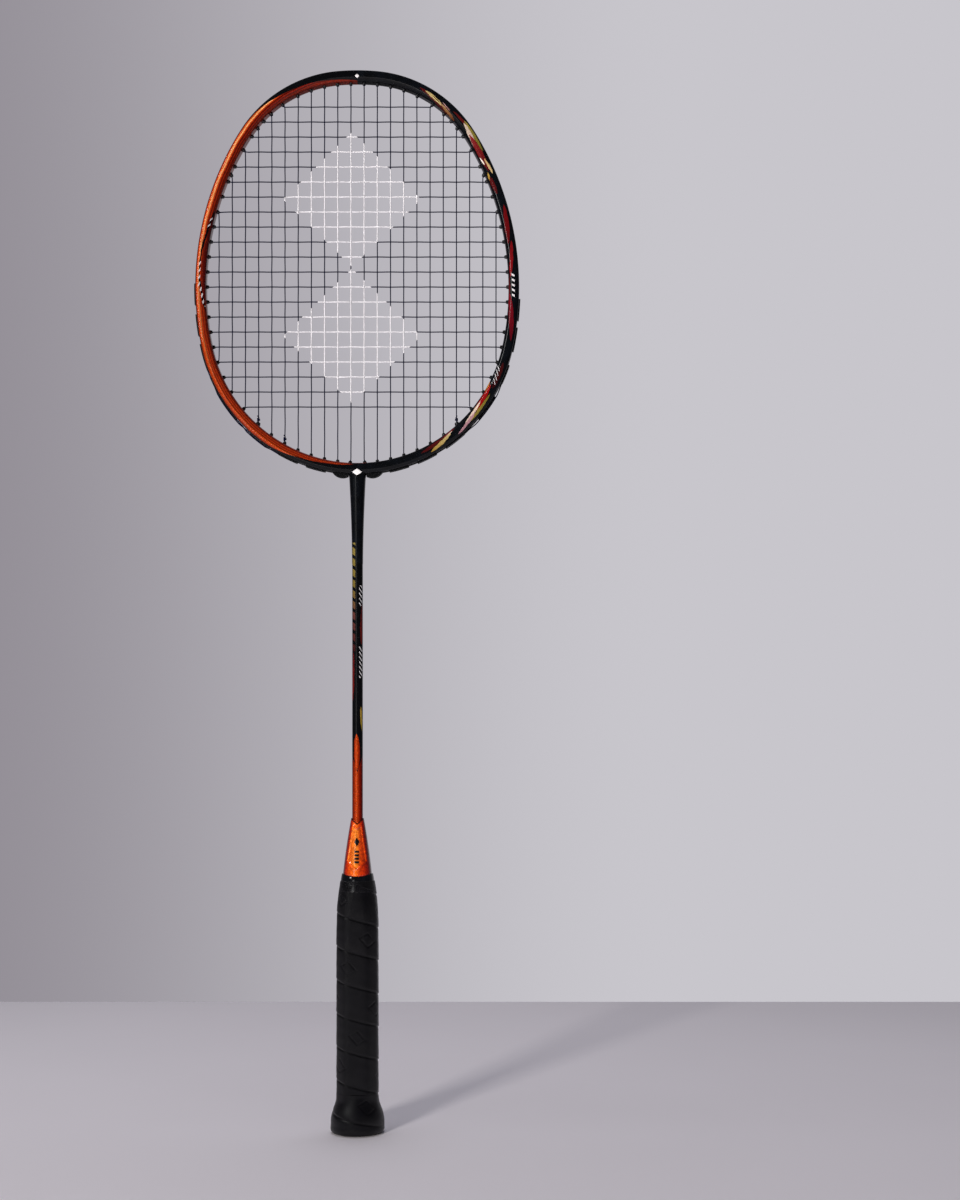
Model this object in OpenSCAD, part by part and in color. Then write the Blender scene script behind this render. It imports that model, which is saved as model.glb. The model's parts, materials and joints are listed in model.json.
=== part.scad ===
// Badminton racket, standing on its butt.
// +Z runs up the racket to the crown of the head, +X is to the right seen from the front,
// and Y is the depth through the string bed. The origin is on the floor under the handle's axis.

/* [Head] */
// Height of the head's crown above the foot of the handle
head_top = 675; // [668:0.5:680]
// Outer radius of the short flat arc over the crown
crown_r = 150; // [140:1:160]
// Where the crown arc ends, in degrees from straight up
crown_end = 4.5; // [4:0.1:5]
// Outer radius of the shoulder arcs
shoulder_r = 81.3; // [80:0.1:83]
// Where the shoulder arcs end, in degrees from straight up
shoulder_end = 57.7; // [57:0.1:58.5]
// Outer radius of the side arcs
side_r = 186.2; // [184:0.1:189]
// Where the side arcs end, in degrees from straight up
side_end = 101.7; // [101:0.1:102.5]
// Width of the frame's band, seen from the front
band_w = 6.8; // [6.4:0.1:7.2]
// Depth of the frame's band
band_d = 10.4; // [10:0.1:11]
// Depth of the string groove in the outer face
groove_d = 1.4; // [1.3:0.05:1.5]

/* [Strings] */
// Number of main strings on each side of the middle
mains_per_side = 11; // [11:1:11]
// Spacing of the main strings
main_pitch = 8.4; // [8.35:0.01:8.45]
// Number of cross strings
cross_count = 21; // [21:1:21]
// Height of the top cross string below the crown
cross_first = 22.1; // [21.9:0.1:22.3]
// Spacing of the cross strings
cross_pitch = 9.555; // [9.52:0.005:9.58]
// Diameter of the string
string_d = 0.7; // [0.66:0.02:0.7]

/* [Grommets] */
// How far a barrel stands in from the frame's inner face
nub = 1.5; // [1.2:0.1:1.8]
// Outer diameter of a barrel
barrel_d = 2.5; // [2.3:0.1:2.6]
// Diameter of a barrel's bore
bore_d = 1.5; // [1.46:0.02:1.6]
// Outer diameter of the tie-off barrels
tie_barrel_d = 3.2; // [3:0.1:3.4]
// How far a barrel leans from the frame's normal to its string's line: 0 is square, 1 is in line
lean = 0.5; // [0.4:0.05:0.6]
// Angle by which the barrels next to the throat splay outwards
throat_splay = 24; // [22:1:26]
// Ends of a main and a cross that come this close to each other share one barrel
share_gap = 2.4; // [2.1:0.1:2.6]
// How far the cheeks of a pad stand proud of the frame
pad_proud = 0.9; // [0.85:0.05:1]

/* [Shaft] */
// Diameter of the shaft
shaft_d = 6.8; // [6.6:0.1:7]
// Diameter of the hollow in the shaft
shaft_bore_d = 4.7; // [4.5:0.1:5]
// Height of the shaft's lower end, inside the handle
shaft_foot = 100; // [90:1:115]
// Radius of the throat sleeve where it meets the head
throat_r = 5.4; // [5.2:0.1:5.5]
// Height at which the throat sleeve begins to swell
throat_z = 362; // [355:1:368]

/* [Handle] */
// Width across the grip, seen from the front
grip_w = 27; // [26:0.5:28]
// Depth of the grip
grip_d = 24.4; // [23.5:0.1:25]
// Width of the grip's flat front face
grip_face = 14.6; // [13.5:0.1:15.5]
// Height of the grip's flat side face, across the depth
grip_side = 11.2; // [10.5:0.1:12]
// Thickness of the wrapped grip
grip_t = 1.8; // [1.6:0.1:2]
// Largest radius of the flare at the butt
flare_r = 17.2; // [16.8:0.1:17.6]
// Height of the top of the flare
flare_top = 25.5; // [24:0.5:27]
// Height at which the grip starts to taper, on its sides
taper_z = 142; // [140:0.5:144]
// Loss of radius for each millimetre up the taper
taper_rate = 0.16; // [0.155:0.001:0.165]
// Height of the wrapped grip's upper end
grip_top = 160; // [159.5:0.1:160]

/* [Cone cap] */
// Height of the cap's upper end
cap_top = 200; // [199:0.5:201]
// Height of the cap's lower edge at its sides
cap_foot = 164.9; // [164.7:0.1:165.1]
// Radius of the cap at its lower edge
cap_foot_r = 9.2; // [9:0.05:9.3]
// Radius of the cap at its upper end
cap_top_r = 4.05; // [4:0.01:4.1]
// Depth of the vee cut in the front and the back of the cap's upper end
cap_vee = 3.6; // [3.2:0.1:4]
// Depth of the sunk panel on the front and the back
panel_sunk = 0.4; // [0.3:0.05:0.45]

/* [Hidden] */
$fn = 96;

// Gap left between two pieces that touch
fit = 0.05;
string_r = string_d / 2;
// Mains lie this far in front of the middle plane, and crosses this far behind it
layer_y = string_r + 0.01;
cross_top = head_top - cross_first;
middle_main = main_pitch / 2;

// The half outline is four tangent arcs. The last radius closes it on the middle line.
bow_r = side_r + ((crown_r - shoulder_r) * sin(crown_end)
    + (shoulder_r - side_r) * sin(shoulder_end)) / sin(side_end);
radii = [crown_r, shoulder_r, side_r, bow_r];
ends = [0, crown_end, shoulder_end, side_end];
function centre(i) = i == 0 ? [0, head_top - crown_r]
    : centre(i - 1) + (radii[i - 1] - radii[i]) * [sin(ends[i]), cos(ends[i])];
// Each arc: centre x, centre z, outer radius, first and last angle from straight up. The crown
// and the bow run across the middle line to the other side.
firsts = [-crown_end, crown_end, shoulder_end, side_end];
lasts = [crown_end, shoulder_end, side_end, 360 - side_end];
arcs = [for (i = [0:3]) [centre(i)[0], centre(i)[1], radii[i], firsts[i], lasts[i]]];
bow_z = arcs[3][1] - bow_r;

function unit(v) = v / norm(v);
function arc_at(phi) = [for (a = arcs) if (phi >= a[3] && phi <= a[4]) a][0];
function outline(phi, inset) = let (a = arc_at(phi))
    [a[0], a[1]] + (a[2] - inset) * [sin(phi), cos(phi)];

// Angle at which an upright line at x, or a level line at z, meets the outline set in by inset
function phi_of_x(x, inset, up) = [
    for (a = arcs) let (s = (x - a[0]) / (a[2] - inset)) if (abs(s) <= 1)
        let (p = up ? asin(s) : 180 - asin(s)) if (p >= a[3] && p <= a[4]) p][0];
function phi_of_z(z, inset) = [
    for (a = arcs) let (c = (z - a[1]) / (a[2] - inset)) if (abs(c) <= 1)
        let (p = acos(c)) if (p >= a[3] && p <= a[4]) p][0];

// Where the barrels' mouths and the strings' straight runs end
mouth_in = band_w + nub;
run_in = mouth_in + 0.35;
function main_x(i) = middle_main + main_pitch * i;
function cross_z(j) = cross_top - cross_pitch * j;
top_phi = [for (i = [0:mains_per_side - 1]) phi_of_x(main_x(i), mouth_in, true)];
foot_phi = [for (i = [0:mains_per_side - 1]) phi_of_x(main_x(i), mouth_in, false)];
side_phi = [for (j = [0:cross_count - 1]) phi_of_z(cross_z(j), mouth_in)];

// A barrel: its mouth, its direction, the angle at which it leaves the groove, and its length
function barrel(phi, d) = let (
        a = arc_at(phi),
        n = [sin(phi), cos(phi)],
        m = [a[0], a[1]] + (a[2] - mouth_in) * n,
        b = unit(n * (1 - lean) + d * lean)
    ) aimed(a, m, b);
function aimed(a, m, b) = let (
        q = m - [a[0], a[1]],
        e = q + reach_from(a, q, b, groove_d) * b
    ) [m, b, atan2(e[0], e[1]), reach_from(a, q, b, groove_d)];
// Length from a mouth at q from the arc's centre to the outline set in by inset
function reach_from(a, q, b, inset) = let (along = q * b)
    sqrt(along * along - q * q + pow(a[2] - inset, 2)) - along;

function arc_gap(p, q) = abs(p - q) * arc_at(p)[2] * PI / 180;
function partner(p, list) = [for (i = [0:len(list) - 1]) if (arc_gap(p, list[i]) < share_gap) i];
UP = [0, 1];
OUT = [1, 0];
// A cross string's barrel, moved half way to a main's end where the two share it
function cross_barrel(j) = let (
        p = side_phi[j],
        t = partner(p, top_phi),
        f = partner(p, foot_phi)
    ) len(t) > 0 ? barrel((p + top_phi[t[0]]) / 2, unit(OUT + UP))
    : len(f) > 0 ? barrel((p + foot_phi[f[0]]) / 2, unit(OUT - UP))
    : barrel(p, OUT);
function top_barrel(i) = let (c = partner(top_phi[i], side_phi))
    len(c) > 0 ? cross_barrel(c[0]) : barrel(top_phi[i], UP);
function foot_barrel(i) = let (c = partner(foot_phi[i], side_phi))
    len(c) > 0 ? cross_barrel(c[0])
    : i == 0 ? aimed(arcs[3], outline(foot_phi[0], mouth_in), [sin(throat_splay), -cos(throat_splay)])
    : barrel(foot_phi[i], -UP);
tops = [for (i = [0:mains_per_side - 1]) top_barrel(i)];
feet = [for (i = [0:mains_per_side - 1]) foot_barrel(i)];
sides = [for (j = [0:cross_count - 1]) cross_barrel(j)];

// Which barrels stand alone, which are shared, and which sit in pads
crown_set = [0, 1, 2, 3, 4, 6, 7, 9];
shared_set = [0, 3, 7];
left_set = [1, 2, 4, 5, 6, 8, 9, 10, 11];
right_set = [1, 2, 4, 5, 6, 8, 9, 10, 11, 12];
left_pad_sets = [[12, 13], [14, 15], [16, 17], [18, 19, 20]];
right_pad_sets = [[13, 14], [15, 16], [17, 18], [19, 20]];
bow_pad_sets = [[5, 4], [3, 2]];
throat_pad_set = [1, 0];
tie_main = 7;

// Half width of a plate in the groove, its thickness, and its reach past a barrel
plate_y = 1.7;
plate_t = 0.35;
plate_end = 1.8;
cheek_y = 0.85;
pad_floor = 0.15;
// Depth of the string's middle in the bare groove, and its height over a pad
groove_line = groove_d - fit - plate_t - string_r - 0.02;
pad_line = -(pad_floor + string_r + 0.02);

// --- Helpers ---------------------------------------------------------------

module both_sides() {
    children();
    mirror([1, 0, 0]) children();
}

// Sweeps a flat profile along one arc of the head. The profile's x is 0 on the outer face and
// grows outwards, and its y is the depth.
module sector(a, from, to) {
    translate([a[0], 0, a[1]]) rotate([90, 0, 0]) rotate([0, 0, 90 - to])
        rotate_extrude(angle = to - from, $fn = 360) translate([a[2], 0]) children();
}

// The same along as many arcs as the stretch covers. Neighbours overlap by a hair at their
// joint, and every second one is a hair fatter about the point given, so that they fuse.
lap = 0.02;
module stretch(from, to, about = [-band_w / 2, 0], swell = 0.004) {
    for (i = [0:3]) {
        a = arcs[i];
        f = from <= a[3] ? a[3] - lap : from;
        t = to >= a[4] ? a[4] + lap : to;
        if (min(to, a[4]) > max(from, a[3]))
            sector(a, f, t) translate(about) scale(i % 2 == 1 ? 1 + swell : 1)
                translate(-about) children();
    }
}

// All the way round
module ring() {
    stretch(-crown_end, 360 - side_end) children();
    mirror([1, 0, 0]) stretch(crown_end, side_end) children();
}

// Stands a child at a barrel's mouth with +Z along the barrel
module at_barrel(b) {
    translate([b[0][0], 0, b[0][1]]) rotate([0, atan2(b[1][0], b[1][1]), 0]) children();
}

module drill(b, r) {
    at_barrel(b) translate([0, 0, -1]) cylinder(r = r, h = b[3] + 4);
}

// Outline of the band's section: bevelled faces round a groove
function band_outline() = let (y = band_d / 2, g = 2) [
    [-groove_d, -g], [0, -g - 0.2], [0, -y + 1.8], [-0.5, -y + 0.9], [-1.7, -y], [-4.9, -y],
    [-6.2, -y + 0.9], [-band_w, -y + 2.3], [-band_w, y - 2.3], [-6.2, y - 0.9], [-4.9, y],
    [-1.7, y], [-0.5, y - 0.9], [0, y - 1.8], [0, g + 0.2], [-groove_d, g]];
function hollow_outline(gap) = let (y = band_d / 2 - 1.1 - gap, a = -2.4 - gap, b = 1.1 + gap - band_w) [
    [a, -y + 0.9], [a - 0.6, -y], [b + 1.2, -y], [b, -y + 1.6],
    [b, y - 1.6], [b + 1.2, y], [a - 0.6, y], [a, y - 0.9]];

module all_drills() {
    lone_tops = [for (i = crown_set) tops[i]];
    lone_feet = [for (i = [0:tie_main - 1]) feet[i]];
    for (b = concat(lone_tops, sides, lone_feet)) drill(b, barrel_d / 2 + fit);
    drill(feet[tie_main], tie_barrel_d / 2 + fit);
}

// One barrel, cut off level with the top of the plates in the groove
module barrel_tube(b, r) {
    intersection() {
        at_barrel(b) {
            cylinder(r1 = r - 0.35, r2 = r, h = 1.2);
            translate([0, 0, 1.2]) cylinder(r = r, h = b[3] + 1);
        }
        sector(arc_at(b[2]), b[2] - 5, b[2] + 5)
            translate([-14, -3]) square([14 - groove_d + fit + plate_t, 6]);
    }
}

module plate_profile() {
    translate([-groove_d + fit, -plate_y]) square([plate_t, 2 * plate_y]);
}

module pad_profile() {
    polygon([[-groove_d + fit, -plate_y], [pad_proud, -plate_y], [pad_proud, -cheek_y],
        [pad_floor, -cheek_y], [pad_floor, cheek_y], [pad_proud, cheek_y],
        [pad_proud, plate_y], [-groove_d + fit, plate_y]]);
}

// Angle that a length along the frame spans at a barrel's exit
function span(b, length) = length / arc_at(b[2])[2] * 180 / PI;

module grommet(b) {
    difference() {
        union() {
            barrel_tube(b, barrel_d / 2);
            sector(arc_at(b[2]), b[2] - span(b, plate_end), b[2] + span(b, plate_end)) plate_profile();
        }
        drill(b, bore_d / 2);
    }
}

// Barrels joined by one thick pad
module padded_grommet(list, r = barrel_d / 2, r_first = barrel_d / 2) {
    last = list[len(list) - 1];
    low = min(list[0][2], last[2]);
    high = max(list[0][2], last[2]);
    difference() {
        union() {
            for (k = [0:len(list) - 1]) barrel_tube(list[k], k == 0 ? r_first : r);
            stretch(low - span(last, plate_end), high + span(last, plate_end), [-0.2, 0], 0.008)
                pad_profile();
        }
        for (b = list) drill(b, bore_d / 2);
    }
}

// Main or cross string, from one side's mouth to the other
module run(from, to, y) {
    d = to - from;
    translate([from[0], y, from[1]]) rotate([0, atan2(d[0], d[1]), 0])
        cylinder(d = string_d, h = norm(d), $fn = 24);
}

// String through one barrel, from just inside its mouth to the line of the loop outside
module leg(b, y, line) {
    a = arc_at(b[2]);
    reach = reach_from(a, b[0] - [a[0], a[1]], b[1], line);
    translate([0, y, 0]) at_barrel(b) translate([0, 0, 0.1])
        cylinder(d = string_d - 0.04, h = reach - 0.1, $fn = 24);
}
// Angle at which that leg meets the loop's line
function leg_phi(b, line) = let (
        a = arc_at(b[2]),
        q = b[0] - [a[0], a[1]],
        e = q + reach_from(a, q, b[1], line) * b[1]
    ) atan2(e[0], e[1]);

// String along the frame's outside
module outer_run(from, to, y, line) {
    past = 0.2;
    stretch(from - past, to + past, [-line, -y], 0.02)
        translate([-line, -y]) circle(d = string_d, $fn = 24);
}

// Two legs joined outside the frame
module loop(b1, b2, y, line) {
    leg(b1, y, line);
    leg(b2, y, line);
    p1 = leg_phi(b1, line);
    p2 = leg_phi(b2, line);
    outer_run(min(p1, p2), max(p1, p2), y, line);
}

// Wrapped grip's form, or what is inside it when set in
module grip_form(inset, top) {
    face = grip_face / 2 - inset * 0.4;
    side = grip_side / 2 - inset * 0.4;
    w = grip_w / 2 - inset;
    d = grip_d / 2 - inset;
    broad = 20;
    cone_z = taper_z - (broad - grip_w / 2) / taper_rate;
    foot_c = flare_r - 3;
    foot_r = 3 - inset;
    low = 7.5;
    wide = flare_r - inset;
    narrow = w - 0.3;
    intersection() {
        translate([0, 0, 6]) linear_extrude(top - 6)
            polygon([[w, side], [face, d], [-face, d], [-w, side], [-w, -side], [-face, -d], [face, -d], [w, -side]]);
        rotate_extrude() polygon([[0, 0], [broad - inset, 0], [broad - inset, cone_z],
            [taper_r(top) - inset, top], [0, top]]);
    }
    rotate_extrude() polygon(concat(
        [[0, inset]],
        [for (t = [0:15:90]) [foot_c + foot_r * sin(t), 3 - foot_r * cos(t)]],
        [for (k = [0:9]) [(wide + narrow) / 2 + (wide - narrow) / 2 * cos(20 * k),
            low + (flare_top - low) * k / 9]],
        [[0, flare_top]]));
}
function taper_r(z) = grip_w / 2 - taper_rate * (z - taper_z);

neck_r = 7.4;
neck_top = 188;
neck_top_r = 4.5;
neck_straight = 167;
// Radius of the curved seat between the cap and its collar
seat_r = 32;
seat_drop = 1.6;

module seat(gap) {
    translate([0, 0, cap_foot - seat_drop + seat_r]) rotate([90, 0, 0])
        cylinder(r = seat_r + gap, h = 60, center = true, $fn = 180);
}

// Outer profile of the cap, slightly bowed
function cap_r(z) = let (t = (z - cap_foot) / (cap_top - cap_foot))
    cap_foot_r + (cap_top_r - cap_foot_r) * t + 1.4 * t * (1 - t);
module cap_form(inset) {
    rotate_extrude() polygon(concat(
        [[0, 160]], [for (k = [0:8]) let (z = 160 + (cap_top - 160) * k / 8) [cap_r(z) - inset, z]],
        [[0, cap_top]]));
}

// --- Head ------------------------------------------------------------------

module head_frame() color([0.75, 0.16, 0.05]) {
    difference() {
        ring() difference() {
            polygon(band_outline());
            polygon(hollow_outline(0));
        }
        both_sides() all_drills();
        translate([0, 0, bow_z - 1]) cylinder(d = shaft_bore_d, h = 5);
    }
}

// Joins the two ends of the frame's tube to the shaft
module t_joint() color([0.6, 0.6, 0.62]) {
    difference() {
        union() {
            sector(arcs[3], 174.5, 185.5) polygon(hollow_outline(fit));
            translate([0, 0, 372]) cylinder(d = shaft_bore_d - 2 * fit, h = bow_z + 4 - 372);
        }
        both_sides() drill(feet[0], barrel_d / 2 + fit);
    }
}

module throat_sleeve() color([0.02, 0.02, 0.025]) {
    tube_r = shaft_d / 2;
    skin = 0.12;
    difference() {
        rotate_extrude() polygon(concat(
            [[tube_r + fit / 2, throat_z]],
            [for (k = [0:10]) [tube_r + skin + (throat_r - tube_r - skin) * pow(k / 10, 1.7),
                throat_z + (bow_z + 0.8 - throat_z) * k / 10]],
            [[tube_r + fit / 2, bow_z + 0.8]]));
        translate([0, 0, arcs[3][1]]) rotate([90, 0, 0])
            cylinder(r = bow_r + fit, h = 30, center = true, $fn = 360);
    }
}

module shaft() color([0.8, 0.2, 0.05]) {
    translate([0, 0, shaft_foot]) difference() {
        cylinder(d = shaft_d, h = bow_z - fit - shaft_foot);
        translate([0, 0, -1]) cylinder(d = shaft_bore_d, h = bow_z + 2 - shaft_foot);
    }
}

// --- Handle ----------------------------------------------------------------

module cone_cap() color([0.85, 0.25, 0.04]) {
    difference() {
        intersection() {
            cap_form(0);
            seat(0);
        }
        // Bore for the shaft and hollow for the handle's neck
        cylinder(d = shaft_d + 2 * fit, h = cap_top + 1);
        translate([0, 0, 150]) cylinder(r = neck_r + fit, h = neck_straight + fit - 150);
        translate([0, 0, neck_straight]) cylinder(r1 = neck_r + fit, r2 = neck_top_r + fit,
            h = neck_top + fit - neck_straight);
        // Vee in the front and the back of the rim
        rotate([90, 0, 0]) linear_extrude(20, center = true)
            polygon([[0, cap_top - cap_vee], [cap_top_r + 0.4, cap_top + 0.2], [-cap_top_r - 0.4, cap_top + 0.2]]);
        // Sunk panel that ends in a point below
        intersection() {
            rotate([90, 0, 0]) linear_extrude(40, center = true)
                polygon([[0, 167.5], [6.1, 173], [2.6, cap_top - 4.6], [0, cap_top - 7], [-2.6, cap_top - 4.6],
                    [-6.1, 173]]);
            difference() {
                cap_form(-2);
                cap_form(panel_sunk);
            }
        }
    }
}

module cap_collar() color([0.03, 0.03, 0.035]) {
    difference() {
        rotate_extrude() polygon([[neck_r + fit, grip_top + fit], [taper_r(grip_top) + 0.1, grip_top + fit],
            [taper_r(cap_foot) + 0.1, cap_foot], [neck_r + fit, cap_foot]]);
        seat(fit);
    }
}

module handle_core() color([0.76, 0.6, 0.4]) {
    difference() {
        union() {
            grip_form(grip_t, grip_top);
            translate([0, 0, grip_top - 1]) cylinder(r = neck_r, h = neck_straight - grip_top + 1);
            translate([0, 0, neck_straight]) cylinder(r1 = neck_r, r2 = neck_top_r,
                h = neck_top - neck_straight);
        }
        translate([0, 0, shaft_foot - fit]) cylinder(d = shaft_d + 2 * fit, h = 120);
        // Hollow that lightens the butt
        translate([0, 0, 30]) cylinder(r = 5, h = 50);
        // Pocket for the tack
        tack_place() tack_form(fit);
    }
}

module tack_place() {
    translate([0, grip_d / 2 - grip_t, 32]) rotate([90, 0, 0]) children();
}
module tack_form(gap) {
    translate([0, 0, -1]) cylinder(r = 2.5 + gap, h = 1.5 + gap, $fn = 32);
    cylinder(r = 0.6 + gap, h = 6 + gap, $fn = 24);
}
// Flat-headed tack that pins the start of the wrap to the wood
module grip_tack() color([0.7, 0.7, 0.7]) {
    intersection() {
        tack_place() tack_form(0);
        translate([-20, 0, 0]) cube([40, grip_d / 2 - grip_t - fit, 60]);
    }
}

module grip_tape() color([0.05, 0.05, 0.055]) {
    difference() {
        grip_form(0, grip_top);
        grip_form(grip_t - fit, grip_top + 1);
        translate([0, 0, -1]) cylinder(r = 10.6, h = 4);
    }
}

module finishing_tape() color([0.04, 0.04, 0.045]) {
    low = 153.5;
    rotate_extrude() polygon([[taper_r(low) + fit, low], [taper_r(low) + 0.27, low],
        [taper_r(grip_top) + 0.27, grip_top], [taper_r(grip_top) + fit, grip_top]]);
}

module butt_disc() color([0.1, 0.1, 0.11]) {
    translate([0, 0, grip_t - fit - 0.5]) cylinder(r = 10.4, h = 0.5);
}

// --- Grommets and pads -----------------------------------------------------

module crown_grommets() color([0.04, 0.04, 0.045]) {
    both_sides() for (i = crown_set) grommet(tops[i]);
}
module shoulder_shared_grommets() color([0.05, 0.05, 0.055]) {
    both_sides() for (j = shared_set) grommet(sides[j]);
}
module left_side_grommets() color([0.04, 0.04, 0.045]) {
    mirror([1, 0, 0]) for (j = left_set) grommet(sides[j]);
}
module right_side_grommets() color([0.04, 0.04, 0.045]) {
    for (j = right_set) grommet(sides[j]);
}
module left_side_pads() color([0.03, 0.03, 0.035]) {
    mirror([1, 0, 0]) for (s = left_pad_sets) padded_grommet([for (j = s) sides[j]]);
}
module right_side_pads() color([0.03, 0.03, 0.035]) {
    for (s = right_pad_sets) padded_grommet([for (j = s) sides[j]]);
}
module bow_pads() color([0.03, 0.03, 0.035]) {
    both_sides() for (s = bow_pad_sets) padded_grommet([for (i = s) feet[i]]);
}
// Humped pads on both sides of the throat
module throat_pads() color([0.03, 0.03, 0.035]) {
    hump_r = 8;
    hump_x = 9.4;
    hump_h = 2.5;
    both_sides() {
        padded_grommet([for (i = throat_pad_set) feet[i]]);
        difference() {
            translate([hump_x, 0, bow_z + hump_r - hump_h]) rotate([90, 0, 0])
                cylinder(r = hump_r, h = 2 * plate_y, center = true);
            cube([200, 2 * cheek_y, 2000], center = true);
            translate([0, 0, arcs[3][1]]) rotate([90, 0, 0])
                cylinder(r = bow_r + 0.3, h = 30, center = true, $fn = 360);
            translate([-50, -5, 0]) cube([50 + throat_r + 0.3, 10, 600]);
        }
    }
}
module tie_off_grommets() color([0.05, 0.05, 0.055]) {
    both_sides() padded_grommet([feet[tie_main], feet[tie_main - 1]], r_first = tie_barrel_d / 2);
}

// --- Strings ---------------------------------------------------------------

module main_strings() color([0.04, 0.05, 0.12]) {
    both_sides() for (i = [0:mains_per_side - 1]) {
        x = main_x(i);
        run([x, outline(phi_of_x(x, run_in, false), run_in)[1]],
            [x, outline(phi_of_x(x, run_in, true), run_in)[1]], -layer_y);
    }
}
module cross_strings() color([0.04, 0.05, 0.12]) {
    for (j = [0:cross_count - 1]) {
        z = cross_z(j);
        x = outline(phi_of_z(z, run_in), run_in)[0];
        run([-x, z], [x, z], layer_y);
    }
}
// Where the mains turn round outside the frame: every second gap, staggered top to bottom
module main_loops() color([0.04, 0.05, 0.12]) {
    both_sides() {
        for (i = [1:2:9]) loop(tops[i], tops[i + 1], -layer_y, groove_line);
        for (i = [0:2:8]) loop(feet[i], feet[i + 1], -layer_y, pad_line);
    }
    both_sides() leg(tops[0], -layer_y, groove_line);
    crown_turn = leg_phi(tops[0], groove_line);
    outer_run(-crown_turn, crown_turn, -layer_y, groove_line);
}
// Where the crosses turn round: upper ones in the groove, lower ones over the pads
module cross_loops() color([0.04, 0.05, 0.12]) {
    mirror([1, 0, 0]) for (j = [0:2:18])
        loop(sides[j], sides[j + 1], layer_y, j < 12 ? groove_line : pad_line);
    for (j = [1:2:19])
        loop(sides[j], sides[j + 1], layer_y, j < 13 ? groove_line : pad_line);
}
// Knots that tie off the string's ends against the grommets
module string_knots() color([0.04, 0.05, 0.12]) {
    for (s = [-1, 1]) translate([s * (main_x(tie_main) - 1.2), -1.6, outline(foot_phi[tie_main], mouth_in)[1] + 1.4])
        sphere(d = 1.8, $fn = 32);
    translate([-main_x(5) + 1.2, -1.6, outline(foot_phi[5], mouth_in)[1] + 1.4]) sphere(d = 1.8, $fn = 32);
}

head_frame();
t_joint();
throat_sleeve();
shaft();
cone_cap();
cap_collar();
handle_core();
grip_tape();
finishing_tape();
grip_tack();
butt_disc();
crown_grommets();
shoulder_shared_grommets();
left_side_grommets();
right_side_grommets();
left_side_pads();
right_side_pads();
bow_pads();
throat_pads();
tie_off_grommets();
main_strings();
cross_strings();
main_loops();
cross_loops();
string_knots();
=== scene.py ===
"""A badminton racket that stands on its butt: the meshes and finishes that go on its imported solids.

Sizes are in millimetres and angles in degrees unless a comment says otherwise. +Z runs up the
racket, +X is to the right seen from the front, and the front faces -Y.
"""

import json
import logging
import math
from dataclasses import dataclass, field
from enum import Enum
from typing import Any

import bmesh
import bpy
import numpy as np
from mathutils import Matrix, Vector

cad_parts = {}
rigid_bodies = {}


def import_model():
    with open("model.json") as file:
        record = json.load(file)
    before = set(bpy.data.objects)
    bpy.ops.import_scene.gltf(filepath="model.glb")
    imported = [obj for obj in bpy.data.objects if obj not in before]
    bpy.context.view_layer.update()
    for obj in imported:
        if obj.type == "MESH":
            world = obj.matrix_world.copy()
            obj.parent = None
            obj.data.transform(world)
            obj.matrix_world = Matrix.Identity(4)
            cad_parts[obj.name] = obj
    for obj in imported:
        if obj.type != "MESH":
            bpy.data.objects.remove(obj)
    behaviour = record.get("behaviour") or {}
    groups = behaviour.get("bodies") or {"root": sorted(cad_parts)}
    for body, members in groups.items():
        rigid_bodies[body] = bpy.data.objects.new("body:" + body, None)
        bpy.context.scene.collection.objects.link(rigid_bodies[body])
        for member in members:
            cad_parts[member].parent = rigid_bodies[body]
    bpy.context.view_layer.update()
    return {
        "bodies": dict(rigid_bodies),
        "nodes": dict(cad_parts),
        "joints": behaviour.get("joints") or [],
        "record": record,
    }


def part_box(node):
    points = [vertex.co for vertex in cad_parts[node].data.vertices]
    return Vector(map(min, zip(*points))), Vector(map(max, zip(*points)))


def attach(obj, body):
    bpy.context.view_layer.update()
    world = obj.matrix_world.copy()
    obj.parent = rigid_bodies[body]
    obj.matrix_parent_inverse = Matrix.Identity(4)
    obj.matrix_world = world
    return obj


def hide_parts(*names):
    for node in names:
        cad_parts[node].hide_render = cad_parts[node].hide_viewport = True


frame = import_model()

LOG = logging.getLogger("racket")
MM = 0.001
BODY = "root"

Socket = bpy.types.NodeSocket
Tree = bpy.types.NodeTree
Point = tuple[float, float]
Spot = tuple[float, float, float]


class Slot(Enum):
    """The record's material slots."""

    FRAME = "frame_lacquer"
    THROAT = "black_lacquer"
    CAP = "cap_lacquer"
    COLLAR = "collar_gloss"
    GRIP = "grip_pu"
    VINYL = "finishing_vinyl"
    BUTT = "butt_plastic"
    STRING = "string_nylon"


class Side(Enum):
    """The two halves of the head, seen from the front, by the sign of X."""

    LEFT = -1
    RIGHT = 1


# --- Meshes -----------------------------------------------------------------


def smooth(share: np.ndarray | float) -> np.ndarray:
    """Eases a share from 0 to 1 with level ends."""
    held = np.clip(share, 0.0, 1.0)
    return held * held * (3.0 - 2.0 * held)


def box_mm(node: str) -> tuple[Vector, Vector]:
    """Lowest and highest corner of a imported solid, in millimetres."""
    low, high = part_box(node)
    return low / MM, high / MM


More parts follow.
